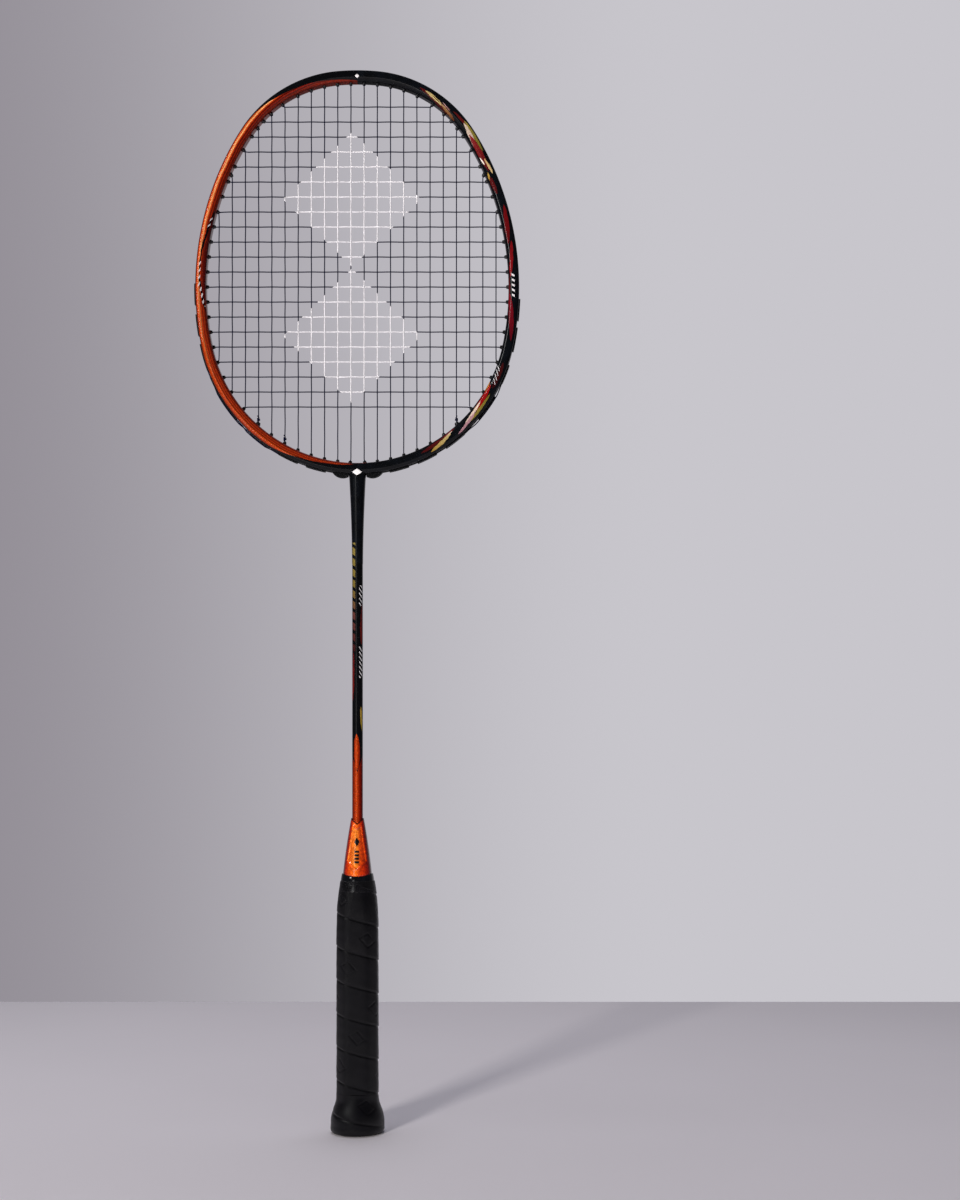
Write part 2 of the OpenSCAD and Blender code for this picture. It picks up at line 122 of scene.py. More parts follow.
def skin(
    name: str,
    rings: np.ndarray,
    closed: bool = False,
    sharp: float = 50.0,
    values: dict[str, np.ndarray] | None = None,
) -> bpy.types.Object:
    """Makes a mesh object from rings of points.

    Args:
        name: Name of the piece.
        rings: Points in millimetres, as rings x points x 3. Each ring closes on itself.
        closed: True joins the last ring to the first, and False caps both ends.
        sharp: Edges that bend by more than this many degrees stay crisp.
        values: Numbers to store at the points for the finish to read, as rings x points.

    Returns:
        The new object, linked to the scene.
    """
    count, around = rings.shape[:2]
    rows = count if closed else count - 1
    first = np.arange(rows)[:, None] * around + np.arange(around)[None, :]
    side = np.arange(rows)[:, None] * around + (np.arange(around)[None, :] + 1) % around
    step = (np.arange(rows)[:, None] + 1) % count * around - np.arange(rows)[:, None] * around
    faces = np.stack([first, side, side + step, first + step], axis=2).reshape(-1, 4).tolist()
    if not closed:
        faces.append(list(range(around)))
        faces.append(list(range((count - 1) * around, count * around)))
    mesh = bpy.data.meshes.new(name)
    mesh.from_pydata((rings.reshape(-1, 3) * MM).tolist(), [], faces)
    for label, numbers in (values or {}).items():
        layer = mesh.attributes.new(label, "FLOAT", "POINT")
        layer.data.foreach_set("value", np.asarray(numbers, np.float32).ravel())
    return finish_mesh(name, mesh, sharp)


def finish_mesh(name: str, mesh: bpy.types.Mesh, sharp: float) -> bpy.types.Object:
    """Turns a mesh's faces outwards, shades it and links it to the scene.

    Args:
        name: Name of the piece.
        mesh: The mesh.
        sharp: Edges that bend by more than this many degrees stay crisp.

    Returns:
        The new object.
    """
    work = bmesh.new()
    work.from_mesh(mesh)
    bmesh.ops.recalc_face_normals(work, faces=work.faces)
    work.to_mesh(mesh)
    work.free()
    mesh.shade_smooth()
    mesh.set_sharp_from_angle(angle=math.radians(sharp))
    piece = bpy.data.objects.new(name, mesh)
    bpy.context.scene.collection.objects.link(piece)
    return piece


def joined(name: str, parts: list[bpy.types.Object]) -> bpy.types.Object:
    """Joins several objects into the first one and names it.

    Args:
        name: Name of the piece.
        parts: The objects.

    Returns:
        The joined object.
    """
    with bpy.context.temp_override(active_object=parts[0], selected_editable_objects=parts):
        bpy.ops.object.join()
    parts[0].name = name
    return parts[0]


def turned(radii: np.ndarray, heights: np.ndarray) -> np.ndarray:
    """Points of a turned piece. The first column faces the front and the next go to the right.

    Args:
        radii: Radius of each point, as rings x columns.
        heights: Height of each point, as rings x columns.

    Returns:
        The points, as rings x columns x 3.
    """
    radii, heights = np.broadcast_arrays(radii, heights)
    angle = columns(radii.shape[1])
    return np.stack([radii * np.sin(angle), -radii * np.cos(angle), heights], axis=2)


def columns(count: int) -> np.ndarray:
    """Angles of that many columns round a turned piece, in radians."""
    return np.linspace(0.0, 2.0 * np.pi, count, endpoint=False)


def tube(path: np.ndarray, radius: float, sides: int) -> np.ndarray:
    """Rings of a round string along a path, with no twist.

    Args:
        path: The path's points.
        radius: The string's radius.
        sides: Points in each ring.

    Returns:
        The rings, as points of the path x sides x 3.
    """
    ways = np.gradient(path, axis=0)
    ways /= np.linalg.norm(ways, axis=1)[:, None]
    turn = columns(sides)
    out = np.array([0.31, 0.83, 0.46])
    rings = []
    for point, way in zip(path, ways):
        out = out - way * out.dot(way)
        out /= np.linalg.norm(out)
        across = np.cross(way, out)
        rings.append(point + radius * (np.outer(np.cos(turn), out) + np.outer(np.sin(turn), across)))
    return np.array(rings)


def eased(path: np.ndarray, passes: int) -> np.ndarray:
    """Rounds a path's corners as a spline would, and keeps its ends.

    Args:
        path: The path's points.
        passes: How many times to round.

    Returns:
        The rounded path.
    """
    for _ in range(passes):
        path = np.vstack([path[:1], (path[:-2] + 4.0 * path[1:-1] + path[2:]) / 6.0, path[-1:]])
    return path


def place(piece: bpy.types.Object, slot: Slot, surface: "Finish", *nodes: str) -> None:
    """Fixes a piece to the racket, dresses it and hides the solids that it stands for.

    Args:
        piece: The new piece.
        slot: The record's slot for its finish. Not used.
        surface: Its finish.
        nodes: The solids that it replaces.
    """
    piece.data.materials.clear()
    piece.data.materials.append(surface.material())
    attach(piece, BODY)
    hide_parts(*nodes)
    LOG.info("%s: %d faces, stands for %s", piece.name, len(piece.data.polygons), ", ".join(nodes))


def dress(surface: "Finish", *nodes: str) -> None:
    """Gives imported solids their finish.

    Args:
        surface: The finish.
        nodes: The solids.
    """
    material = surface.material()
    for node in nodes:
        piece = frame["nodes"][node]
        if not piece.material_slots:
            piece.data.materials.append(material)
        for held in piece.material_slots:
            held.material = material
        LOG.info("%s: dressed in %s", node, surface.name)


# --- Finishes ---------------------------------------------------------------


def linear(code: str) -> tuple[float, float, float, float]:
    """Turns an sRGB hex colour into linear numbers.

    Args:
        code: The colour, such as "D4541C".

    Returns:
        Red, green, blue and an alpha of 1.
    """
    shares = [int(code[i : i + 2], 16) / 255.0 for i in (0, 2, 4)]
    red, green, blue = (s / 12.92 if s <= 0.04045 else ((s + 0.055) / 1.055) ** 2.4 for s in shares)
    return red, green, blue, 1.0


def add(tree: Tree, kind: str, inputs: dict[int | str, Any], output: int | str = 0, **settings: Any) -> Any:
    """Adds a shader node with its settings and links.

    Args:
        tree: The node tree.
        kind: The node's type without its "ShaderNode" prefix.
        inputs: What each input socket gets: another node's output, a number or a hex colour.
        output: The output socket to return.
        settings: The node's own settings. stops holds a ramp's or a curve's points.

    Returns:
        The output socket.
    """
    node = tree.nodes.new("ShaderNode" + kind)
    stops = settings.pop("stops", ())
    for name, value in settings.items():
        setattr(node, name, value)
    if kind == "ValToRGB":
        marks = node.color_ramp.elements
        while len(marks) < len(stops):
            marks.new(1.0)
        for mark, (position, shade) in zip(marks, stops):
            mark.position = position
            mark.color = linear(shade)
    if kind == "FloatCurve":
        line = node.mapping.curves[0].points
        line[0].location = stops[0]
        line[1].location = stops[-1]
        for stop in stops[1:-1]:
            line.new(*stop)
        node.mapping.update()
    for key, value in inputs.items():
        if isinstance(value, Socket):
            tree.links.new(value, node.inputs[key])
        else:
            node.inputs[key].default_value = linear(value) if isinstance(value, str) else value
    return node.outputs[output]


def group(name: str, inputs: dict[str, str], output: str) -> tuple[Tree, dict[str, Socket], Any]:
    """Starts a node group, once.

    Args:
        name: The group's name.
        inputs: Name and type of each input socket.
        output: Type of the output socket.

    Returns:
        The tree, its inputs by name, and the output node, which is None if the group was there.
    """
    tree = bpy.data.node_groups.get(name)
    if tree:
        return tree, {}, None
    tree = bpy.data.node_groups.new(name, "ShaderNodeTree")
    for label, kind in inputs.items():
        tree.interface.new_socket(label, in_out="INPUT", socket_type="NodeSocket" + kind)
    tree.interface.new_socket("Result", in_out="OUTPUT", socket_type="NodeSocket" + output)
    given = tree.nodes.new("NodeGroupInput")
    return tree, {label: given.outputs[label] for label in inputs}, tree.nodes.new("NodeGroupOutput")


def streak_group() -> Tree:
    """An airbrushed streak: a lens of paint that tapers to both ends, with a ragged, soft edge.

    Returns:
        The group. Along runs down the streak and Across runs over it, both in millimetres.
    """
    lengths = ("Along", "Across", "Start", "End", "Across first", "Across last", "Half width")
    kinds = dict.fromkeys(("Base", "First", "Last"), "Color") | dict.fromkeys(lengths, "Float")
    tree, given, out = group("airbrushed_streak", kinds, "Color")
    if out is None:
        return tree
    ends = {0: given["Along"], 1: given["Start"], 2: given["End"]}
    share = add(tree, "MapRange", ends)
    centre = add(tree, "MapRange", ends | {3: given["Across first"], 4: given["Across last"]})
    rest = add(tree, "Math", {0: 1.0, 1: share}, operation="SUBTRACT")
    lens = add(tree, "Math", {0: share, 1: rest}, operation="MULTIPLY")
    lens = add(tree, "Math", {0: lens, 1: 4.0}, operation="MULTIPLY")
    lens = add(tree, "Math", {0: lens, 1: 0.6}, operation="POWER")
    half = add(tree, "Math", {0: lens, 1: given["Half width"]}, operation="MULTIPLY")
    # Brush hairs: long along the streak and narrow across it
    long_way = add(tree, "Math", {0: given["Along"], 1: 0.25}, operation="MULTIPLY")
    hairs = add(tree, "CombineXYZ", {0: long_way, 1: given["Across"], 2: given["Start"]})
    rough = add(tree, "TexNoise", {"Vector": hairs, "Scale": 1.3, "Detail": 3.0})
    rough = add(tree, "Math", {0: rough, 1: -0.5}, operation="ADD")
    off = add(tree, "Math", {0: given["Across"], 1: centre}, operation="SUBTRACT")
    off = add(tree, "Math", {0: rough, 1: 1.1, 2: off}, operation="MULTIPLY_ADD")
    off = add(tree, "Math", {0: off}, operation="ABSOLUTE")
    gap = add(tree, "Math", {0: half, 1: off}, operation="SUBTRACT")
    mask = add(tree, "MapRange", {0: gap, 1: 0.0, 2: 0.22}, interpolation_type="SMOOTHSTEP")
    paint = add(tree, "Mix", {0: share, 6: given["First"], 7: given["Last"]}, 2, data_type="RGBA")
    mixed = add(tree, "Mix", {0: mask, 6: given["Base"], 7: paint}, 2, data_type="RGBA")
    tree.links.new(mixed, out.inputs[0])
    return tree


def dashes_group() -> Tree:
    """A row of slanted dashes between two ends, as a mask.

    Returns:
        The group. Lengths are in millimetres and Filled is the painted share of each pitch.
    """
    lengths = ("Along", "Across", "Start", "End", "Across first", "Across last", "Half width",
               "Pitch", "Slant", "Filled")
    tree, given, out = group("slanted_dashes", dict.fromkeys(lengths, "Float"), "Float")
    if out is None:
        return tree
    ends = {0: given["Along"], 1: given["Start"], 2: given["End"]}
    centre = add(tree, "MapRange", ends | {3: given["Across first"], 4: given["Across last"]})
    off = add(tree, "Math", {0: given["Across"], 1: centre}, operation="SUBTRACT")
    lean = add(tree, "Math", {0: off, 1: given["Slant"], 2: given["Along"]}, operation="MULTIPLY_ADD")
    turn = add(tree, "Math", {0: lean, 1: given["Pitch"]}, operation="DIVIDE")
    turn = add(tree, "Math", {0: turn}, operation="FRACT")
    dash = add(tree, "Math", {0: turn, 1: given["Filled"]}, operation="LESS_THAN")
    size = add(tree, "Math", {0: off}, operation="ABSOLUTE")
    inside = add(tree, "Math", {0: size, 1: given["Half width"]}, operation="LESS_THAN")
    after = add(tree, "Math", {0: given["Along"], 1: given["Start"]}, operation="GREATER_THAN")
    before = add(tree, "Math", {0: given["Along"], 1: given["End"]}, operation="LESS_THAN")
    mask = add(tree, "Math", {0: dash, 1: inside}, operation="MULTIPLY")
    mask = add(tree, "Math", {0: mask, 1: after}, operation="MULTIPLY")
    mask = add(tree, "Math", {0: mask, 1: before}, operation="MULTIPLY")
    tree.links.new(mask, out.inputs[0])
    return tree


@dataclass(frozen=True)
class Mark:
    """A painted mark between two ends, which may drift across the part on its way."""

    start: float
    end: float
    across_first: float
    across_last: float
    half_width: float

    def sockets(self) -> dict[str, Any]:
        """Every field as an input of the mark's node group: half_width goes to "Half width"."""
        return {name.replace("_", " ").capitalize(): value for name, value in vars(self).items()}


@dataclass(frozen=True)
class Streak(Mark):
    """One airbrushed streak, or one stretch of a painted line."""

    first: str
    last: str

    def over(self, tree: Tree, base: Any, along: Socket, across: Socket) -> Socket:
        """Paints the streak over a colour.

        Args:
            tree: The node tree.
            base: The colour under it.
            along: Place along the part.
            across: Place across the part.

        Returns:
            The new colour.
        """
        inputs = self.sockets() | {"Base": base, "Along": along, "Across": across}
        return add(tree, "Group", inputs, node_tree=streak_group())


@dataclass(frozen=True)
class Dashes(Mark):
    """A row of slanted dashes."""

    pitch: float
    slant: float
    filled: float

    def mask(self, tree: Tree, along: Socket, across: Socket) -> Socket:
        """Mask of the dashes.

        Args:
            tree: The node tree.
            along: Place along the part.
            across: Place across the part.

        Returns:
            1 on the dashes and 0 elsewhere.
        """
        inputs = self.sockets() | {"Along": along, "Across": across}
        return add(tree, "Group", inputs, node_tree=dashes_group())

    def over(self, tree: Tree, base: Any, along: Socket, across: Socket, shade: Any) -> Socket:
        """Paints the dashes over a colour.

        Args:
            tree: The node tree.
            base: The colour under them.
            along: Place along the part.
            across: Place across the part.
            shade: Their colour.

        Returns:
            The new colour.
        """
        mask = self.mask(tree, along, across)
        return add(tree, "Mix", {0: mask, 6: base, 7: shade}, 2, data_type="RGBA")


def place_mm(tree: Tree) -> tuple[Socket, Socket, Socket]:
    """The point being shaded, in millimetres, as X, Y and Z.

    Args:
        tree: The node tree.

    Returns:
        The three numbers.
    """
    spot = add(tree, "TexCoord", {}, "Object")
    spot = add(tree, "VectorMath", {0: spot, 3: 1.0 / MM}, operation="SCALE")
    parts = add(tree, "SeparateXYZ", {0: spot}).node.outputs
    return parts[0], parts[1], parts[2]


def grain(tree: Tree, size: float, detail: float, low: float, high: float) -> Socket:
    """Even noise over the whole piece.

    Args:
        tree: The node tree.
        size: Width of a blotch in millimetres.
        detail: How many finer layers it has.
        low: Least value.
        high: Greatest value.

    Returns:
        The noise.
    """
    spot = add(tree, "TexCoord", {}, "Object")
    noise = add(tree, "TexNoise", {"Vector": spot, "Scale": 1.0 / (size * MM), "Detail": detail})
    return add(tree, "MapRange", {0: noise, 1: 0.3, 2: 0.7, 3: low, 4: high})


def lozenge(tree: Tree, x: Socket, z: Socket, centre: Point, half: Point) -> Socket:
    """Mask of a plain lozenge seen from the front.

    Args:
        tree: The node tree.
        x: Place to the right.
        z: Height.
        centre: The lozenge's middle.
        half: Half its width and half its height.

    Returns:
        1 inside and 0 outside.
    """
    parts = []
    for place_now, middle, reach in zip((x, z), centre, half):
        off = add(tree, "Math", {0: place_now, 1: middle}, operation="SUBTRACT")
        off = add(tree, "Math", {0: off}, operation="ABSOLUTE")
        parts.append(add(tree, "Math", {0: off, 1: reach}, operation="DIVIDE"))
    total = add(tree, "Math", {0: parts[0], 1: parts[1]}, operation="ADD")
    return add(tree, "Math", {0: total, 1: 1.0}, operation="LESS_THAN")


@dataclass(frozen=True)
class Finish:
    """A surface finish. Each kind paints its own colour and relief."""

    name: str
    roughness: float
    ior: float = 1.5
    metallic: float = 0.0
    coat: float = 0.0
    coat_roughness: float = 0.05
    specular: float = 0.5
    sheen: float = 0.0

    def material(self) -> bpy.types.Material:
        """The finish as a material, made once.

        Returns:
            The material.
        """
        made = bpy.data.materials.get(self.name)
        if made:
            return made
        made = bpy.data.materials.new(self.name)
        made.use_nodes = True
        tree = made.node_tree
        shader = tree.nodes["Principled BSDF"]
        inputs = {"Roughness": self.roughness, "IOR": self.ior, "Metallic": self.metallic,
                  "Coat Weight": self.coat, "Coat Roughness": self.coat_roughness,
                  "Specular IOR Level": self.specular, "Sheen Weight": self.sheen} | self.paint(tree)
        for key, value in inputs.items():
            if isinstance(value, Socket):
                tree.links.new(value, shader.inputs[key])
            else:
                shader.inputs[key].default_value = value
        return made

    def paint(self, tree: Tree) -> dict[str, Any]:
        """What the shader's sockets get beyond the constants."""
        raise NotImplementedError

    def relief(self, tree: Tree, height: Socket, depth: float) -> Socket:
        """Normal of a fine relief.

        Args:
            tree: The node tree.
            height: The relief, from 0 to 1.
            depth: Its depth in millimetres.

        Returns:
            The normal.
        """
        return add(tree, "Bump", {"Height": height, "Strength": 1.0, "Distance": depth * MM})


BLACK = "060709"
CREAM = "EDE4D2"
GOLD = "B8953F"
OLIVE = "9C8A2C"
DARK_RED = "4E1214"
PINK = "C39AA2"
# Tint of the painted shade over the right of the shaft and the cap
RIGHT_SHADE_TINT = "E49C88"
# Candy orange across the frame's face, from the outer edge to the inner one, with painted light and shade:
# near the crown a painted highlight makes a pale core beside a dark line of painted shade, and lower down,
# with no highlight painted, it is darker, with fine dark lines. Both ramps darken towards the edges as
# painted shade
CANDY_CROWN_HIGHLIGHT_AND_SHADE = ((0.0, "3E0E06"), (0.12, "8A2A0A"), (0.26, "BE4A10"), (0.36, "FFBE78"), (0.45, "D0480E"),
              (0.55, "8A200A"), (0.62, "2E0804"), (0.72, "8E1E0A"), (0.82, "4A0E06"), (0.9, "8E260E"),
              (1.0, "7E200E"))
CANDY_LOWER_SHADE = ((0.0, "5E180A"), (0.14, "A2340C"), (0.32, "B4420E"), (0.42, "4E1006"), (0.52, "A8340E"),
             (0.61, "64140A"), (0.71, "A4340E"), (0.82, "5E140A"), (0.92, "7A200C"), (1.0, "5E160A"))

# Streaks on the right half of the head, from the crown down to the throat
HEAD_STREAKS = (
    Streak(41, 66, 3.4, 6.6, 1.2, DARK_RED, "3A0E08"),
    Streak(45, 60, 3.4, 5.2, 0.95, "AC9A68", "B4A068"),
    Streak(50, 58, 3.9, 4.9, 0.3, "2E2210", "3A2A10"),
    Streak(57, 72, 4.9, 6.5, 0.85, "947044", "5E2C12"),
    Streak(58, 66, 3.5, 4.6, 0.3, "C8A0A0", "8E5A50"),
    Streak(67, 86, 3.3, 2.2, 0.9, "4A1210", "5E1614"),
    Streak(76, 99, 1.9, 2.0, 1.0, "8C8038", "5E561E"),
    Streak(77, 97, 3.1, 5.2, 1.35, "C8B8A4", "A08884"),
    Streak(85, 112, 4.4, 4.1, 1.75, "7E2020", "48080E"),
    Streak(101, 107, 5.7, 4.9, 0.45, "F4EEE8", CREAM),
    Streak(103, 114, 3.4, 2.4, 0.85, "B89868", "C0A878"),
    Streak(112, 118, 5.2, 5.6, 0.7, "9C7E38", GOLD),
    Streak(115, 127, 5.0, 4.4, 1.3, "4E0C0E", DARK_RED),
    Streak(135, 160, 2.6, 4.9, 1.6, "640A0E", "560A0E"),
    Streak(158, 181, 2.8, 5.6, 1.3, "6A0C12", "7C0E14"),
    Streak(180, 199, 6.3, 6.3, 0.8, "4E0E10", DARK_RED),
    Streak(191, 222, 6.2, 2.0, 1.65, "6E0C18", "500814"),
    Streak(236, 254, 3.2, 3.0, 1.4, "3A0E10", "2E0A0C"),
    Streak(250, 260, 6.6, 5.4, 0.6, "C87A2A", GOLD),
    Streak(252, 275, 5.2, 4.2, 1.5, "900E0C", "780A0E"),
    Streak(257, 281, 2.6, 2.1, 0.95, "6C6020", "8A7A38"),
    Streak(265, 282, 5.0, 3.2, 1.0, "D8C4B0", "C8B4A8"),
    Streak(272, 290, 3.6, 1.2, 0.95, "A88088", "9A727C"),
    Streak(289, 300, 5.9, 5.2, 0.7, "6E1214", DARK_RED),
    Streak(291, 298, 5.3, 4.5, 0.4, "D8C8B8", PINK),
    Streak(293, 310, 4.6, 1.5, 1.25, "B4A270", "947628"),
    Streak(299, 316, 5.3, 3.5, 1.2, "4E1012", "3A0C0C"),
)
# Plain dashes at the widest point of the right half and below it
HEAD_DASHES = (
    Dashes(178, 194, 3.9, 3.7, 0.9, 3.2, 0.5, 0.42),
    Dashes(239, 251, 5.2, 3.7, 1.1, 3.0, 1.5, 0.22),
)
# On the left half a dark red band follows the inner edge, and a black stripe swings out from it and back
LEFT_STRIPES = (
    Streak(138, 200, 6.4, 5.6, 1.5, "4E0E0A", "5E120C"),
    Streak(137, 168, 6.3, 2.8, 0.75, BLACK, BLACK),
    Streak(156, 186, 3.1, 2.6, 0.5, BLACK, BLACK),
    Streak(178, 204, 2.4, 6.2, 0.75, BLACK, BLACK),
)
LEFT_DASHES = (
    Dashes(142, 150, 5.6, 4.7, 0.5, 4.2, 1.6, 0.35),
    Dashes(171, 187, 2.8, 2.8, 0.55, 4.4, 1.6, 0.36),
    Dashes(187, 200, 3.6, 5.6, 0.6, 4.0, 1.6, 0.42),
)


@dataclass(frozen=True)
class HeadLacquer(Finish):
    """Sprayed lacquer on moulded carbon: candy orange on the left, black with streaks on the right.

    The candy is a clear tint over fine aluminium flake. A painted highlight gives it a pale core near the
    crown, and painted shade darkens it towards the edges.
    The clear coat on top gives hard, narrow highlights.
    """

    half_length: float = 358.13
    band_width: float = 6.8
    line_blur: float = 0.12
    tip_start: float = 348.5
    metal_share: float = 0.25
    mark_z: float = 670.7
    mark_half: Point = (1.4, 1.2)

    def paint(self, tree: Tree) -> dict[str, Any]:
        """Colour and metal share.

        Args:
            tree: The node tree.

        Returns:
            What goes into the shader's sockets.
        """
        x, _, z = place_mm(tree)
        along = add(tree, "Attribute", {}, "Fac", attribute_name="along")
        across = add(tree, "Attribute", {}, "Fac", attribute_name="inset")
        orange = self.candy(tree, along, across)
        right = self.right_half(tree, along, across)
        left, left_orange = self.left_half(tree, along, across, orange)
        # The orange line's tip crosses the middle at the throat
        share = add(tree, "MapRange", {0: along, 1: self.tip_start, 2: self.half_length, 3: 7.0, 4: 5.6})
        tip = self.over_line(tree, across, share)
        right = add(tree, "Mix", {0: tip, 6: right, 7: orange}, 2, data_type="RGBA")
        side = add(tree, "MapRange", {0: x, 1: 0.15, 2: -0.15}, interpolation_type="SMOOTHSTEP")
        colour = add(tree, "Mix", {0: side, 6: right, 7: left}, 2, data_type="RGBA")
        metal = add(tree, "Mix", {0: side, 2: tip, 3: left_orange})
        metal = add(tree, "Math", {0: metal, 1: self.metal_share}, operation="MULTIPLY")
        mark = lozenge(tree, x, z, (0.0, self.mark_z), self.mark_half)
        colour = add(tree, "Mix", {0: mark, 6: colour, 7: "E8E8EA"}, 2, data_type="RGBA")
        return {"Base Color": colour, "Metallic": metal}

    def candy(self, tree: Tree, along: Socket, across: Socket) -> Socket:
        """The orange, from the outer edge to the inner one, with its flake, a painted highlight and painted
        shade.

        Args:
            tree: The node tree.
            along: Length from the crown.
            across: Depth in from the outer edge.

        Returns:
            The colour.
        """
        drift = grain(tree, 14.0, 1.0, -0.2, 0.2)
        share = add(tree, "Math", {0: across, 1: drift}, operation="ADD")
        share = add(tree, "Math", {0: share, 1: self.band_width}, operation="DIVIDE")
        # The crown's ramp holds a painted highlight and painted shade, and the lower one holds painted shade
        # only
        high = add(tree, "ValToRGB", {0: share}, stops=CANDY_CROWN_HIGHLIGHT_AND_SHADE)
        low = add(tree, "ValToRGB", {0: share}, stops=CANDY_LOWER_SHADE)
        # The painted highlight fades out down the sides, away from the crown
        fade = add(tree, "MapRange", {0: along, 1: 90.0, 2: 250.0})
        ramp = add(tree, "Mix", {0: fade, 6: high, 7: low}, 2, data_type="RGBA")
        cloud = grain(tree, 1.6, 3.0, 0.78, 1.16)
        spark = grain(tree, 0.3, 0.0, 0.92, 1.08)
        light = add(tree, "Math", {0: cloud, 1: spark}, operation="MULTIPLY")
        return add(tree, "VectorMath", {0: ramp, 3: light}, operation="SCALE")

    def over_line(self, tree: Tree, across: Socket, line: Socket) -> Socket:
        """Mask of what lies inside a painted line.

        Args:
            tree: The node tree.
            across: Depth in from the outer edge.
            line: The line's depth.

        Returns:
            1 towards the strings and 0 outside.
        """
        off = add(tree, "Math", {0: across, 1: line}, operation="SUBTRACT")
        ends = {0: off, 1: -self.line_blur, 2: self.line_blur}
        return add(tree, "MapRange", ends, interpolation_type="SMOOTHSTEP")

    def right_half(self, tree: Tree, along: Socket, across: Socket) -> Socket:
        """The black half with its streaks and dashes.

        Args:
            tree: The node tree.
            along: Length from the crown.
            across: Depth in from the outer edge.

        Returns:
            The colour.
        """
        tint = grain(tree, 7.0, 1.0, 0.0, 1.0)
        colour = add(tree, "Mix", {0: tint, 6: BLACK, 7: "0A0D12"}, 2, data_type="RGBA")
        for streak in HEAD_STREAKS:
            colour = streak.over(tree, colour, along, across)
        for row in HEAD_DASHES:
            colour = row.over(tree, colour, along, across, "D9D9DD")
        return colour

    def left_half(self, tree: Tree, along: Socket, across: Socket, orange: Socket) -> tuple[Socket, Socket]:
        """The orange half.

        Args:
            tree: The node tree.
            along: Length from the crown.
            across: Depth in from the outer edge.
            orange: The candy colour.

        Returns:
            The colour, and 1 where it is orange.
        """
        # Outer edge of the orange: (length from the crown, depth in from the edge)
        line = ((0, 6.5), (24, 5.2), (48, 3.7), (67, 1.7), (88, 0.7), (110, 0.45), (205, 0.45),
                (228, 0.35), (261, 0.2), (294, 0.3), (309, 1.2), (321, 2.7), (333, 3.7), (345, 4.5),
                (self.half_length, 5.6))
        stops = [(a / self.half_length, (b + 1.0) / 9.0) for a, b in line]
        share = add(tree, "Math", {0: along, 1: self.half_length}, operation="DIVIDE")
        edge = add(tree, "FloatCurve", {1: share}, stops=stops)
        edge = add(tree, "Math", {0: edge, 1: 9.0, 2: -1.0}, operation="MULTIPLY_ADD")
        inside = self.over_line(tree, across, edge)
        colour = orange
        for stripe in LEFT_STRIPES:
            colour = stripe.over(tree, colour, along, across)
        for row in LEFT_DASHES:
            colour = row.over(tree, colour, along, across, "CFCCD0")
        return add(tree, "Mix", {0: inside, 6: BLACK, 7: colour}, 2, data_type="RGBA"), inside


def side_dashes(tree: Tree, base: Socket, x: Socket, z: Socket) -> Socket:
    """Plain dashes down the left of the shaft, from gold above to dark red below.

    Args:
        tree: The node tree.
        base: The colour under them.
        x: Place to the right.
        z: Height.

    Returns:
        The new colour.
    """
    share = add(tree, "MapRange", {0: z, 1: 306.0, 2: 374.0})
    ink = add(tree, "ValToRGB", {0: share},
              stops=((0.0, "341012"), (0.35, "5A322E"), (0.6, "6C5E2A"), (1.0, "7E7038")))
    return Dashes(306, 375, -2.2, -2.2, 0.95, 6.8, 0.8, 0.66).over(tree, base, z, x, ink)


def shaded_to_right(tree: Tree, orange: Socket, x: Socket, reach: float) -> Socket:
    """The candy orange with painted shade over the right, where it turns redder.

    Args:
        tree: The node tree.
        orange: The orange on the left.
        x: Place to the right.
        reach: Where it is fully red with painted shade.

    Returns:
        The colour.
    """
    share = add(tree, "MapRange", {0: x, 1: -0.4 * reach, 2: reach}, interpolation_type="SMOOTHSTEP")
    return add(tree, "Mix", {0: share, 6: orange, 7: RIGHT_SHADE_TINT}, 2, data_type="RGBA", blend_type="MULTIPLY")


@dataclass(frozen=True)
class ThroatLacquer(Finish):
    """Black clear-coated lacquer on moulded carbon: deep, with sharp reflections."""

    mark_z: float = 419.6
    mark_half: Point = (3.2, 2.1)

    def paint(self, tree: Tree) -> dict[str, Any]:
        """Black with one plain white lozenge on each face.

        Args:
            tree: The node tree.

        Returns:
            What goes into the shader's sockets.
        """
        x, _, z = place_mm(tree)
        tint = grain(tree, 6.0, 1.0, 0.0, 1.0)
        base = add(tree, "Mix", {0: tint, 6: BLACK, 7: "0B0E13"}, 2, data_type="RGBA")
        base = side_dashes(tree, base, x, z)
        mark = lozenge(tree, x, z, (0.0, self.mark_z), self.mark_half)
        colour = add(tree, "Mix", {0: mark, 6: base, 7: "F0F0F2"}, 2, data_type="RGBA")
        return {"Base Color": colour, "Normal": self.relief(tree, grain(tree, 0.5, 2.0, 0.0, 1.0), 0.003)}


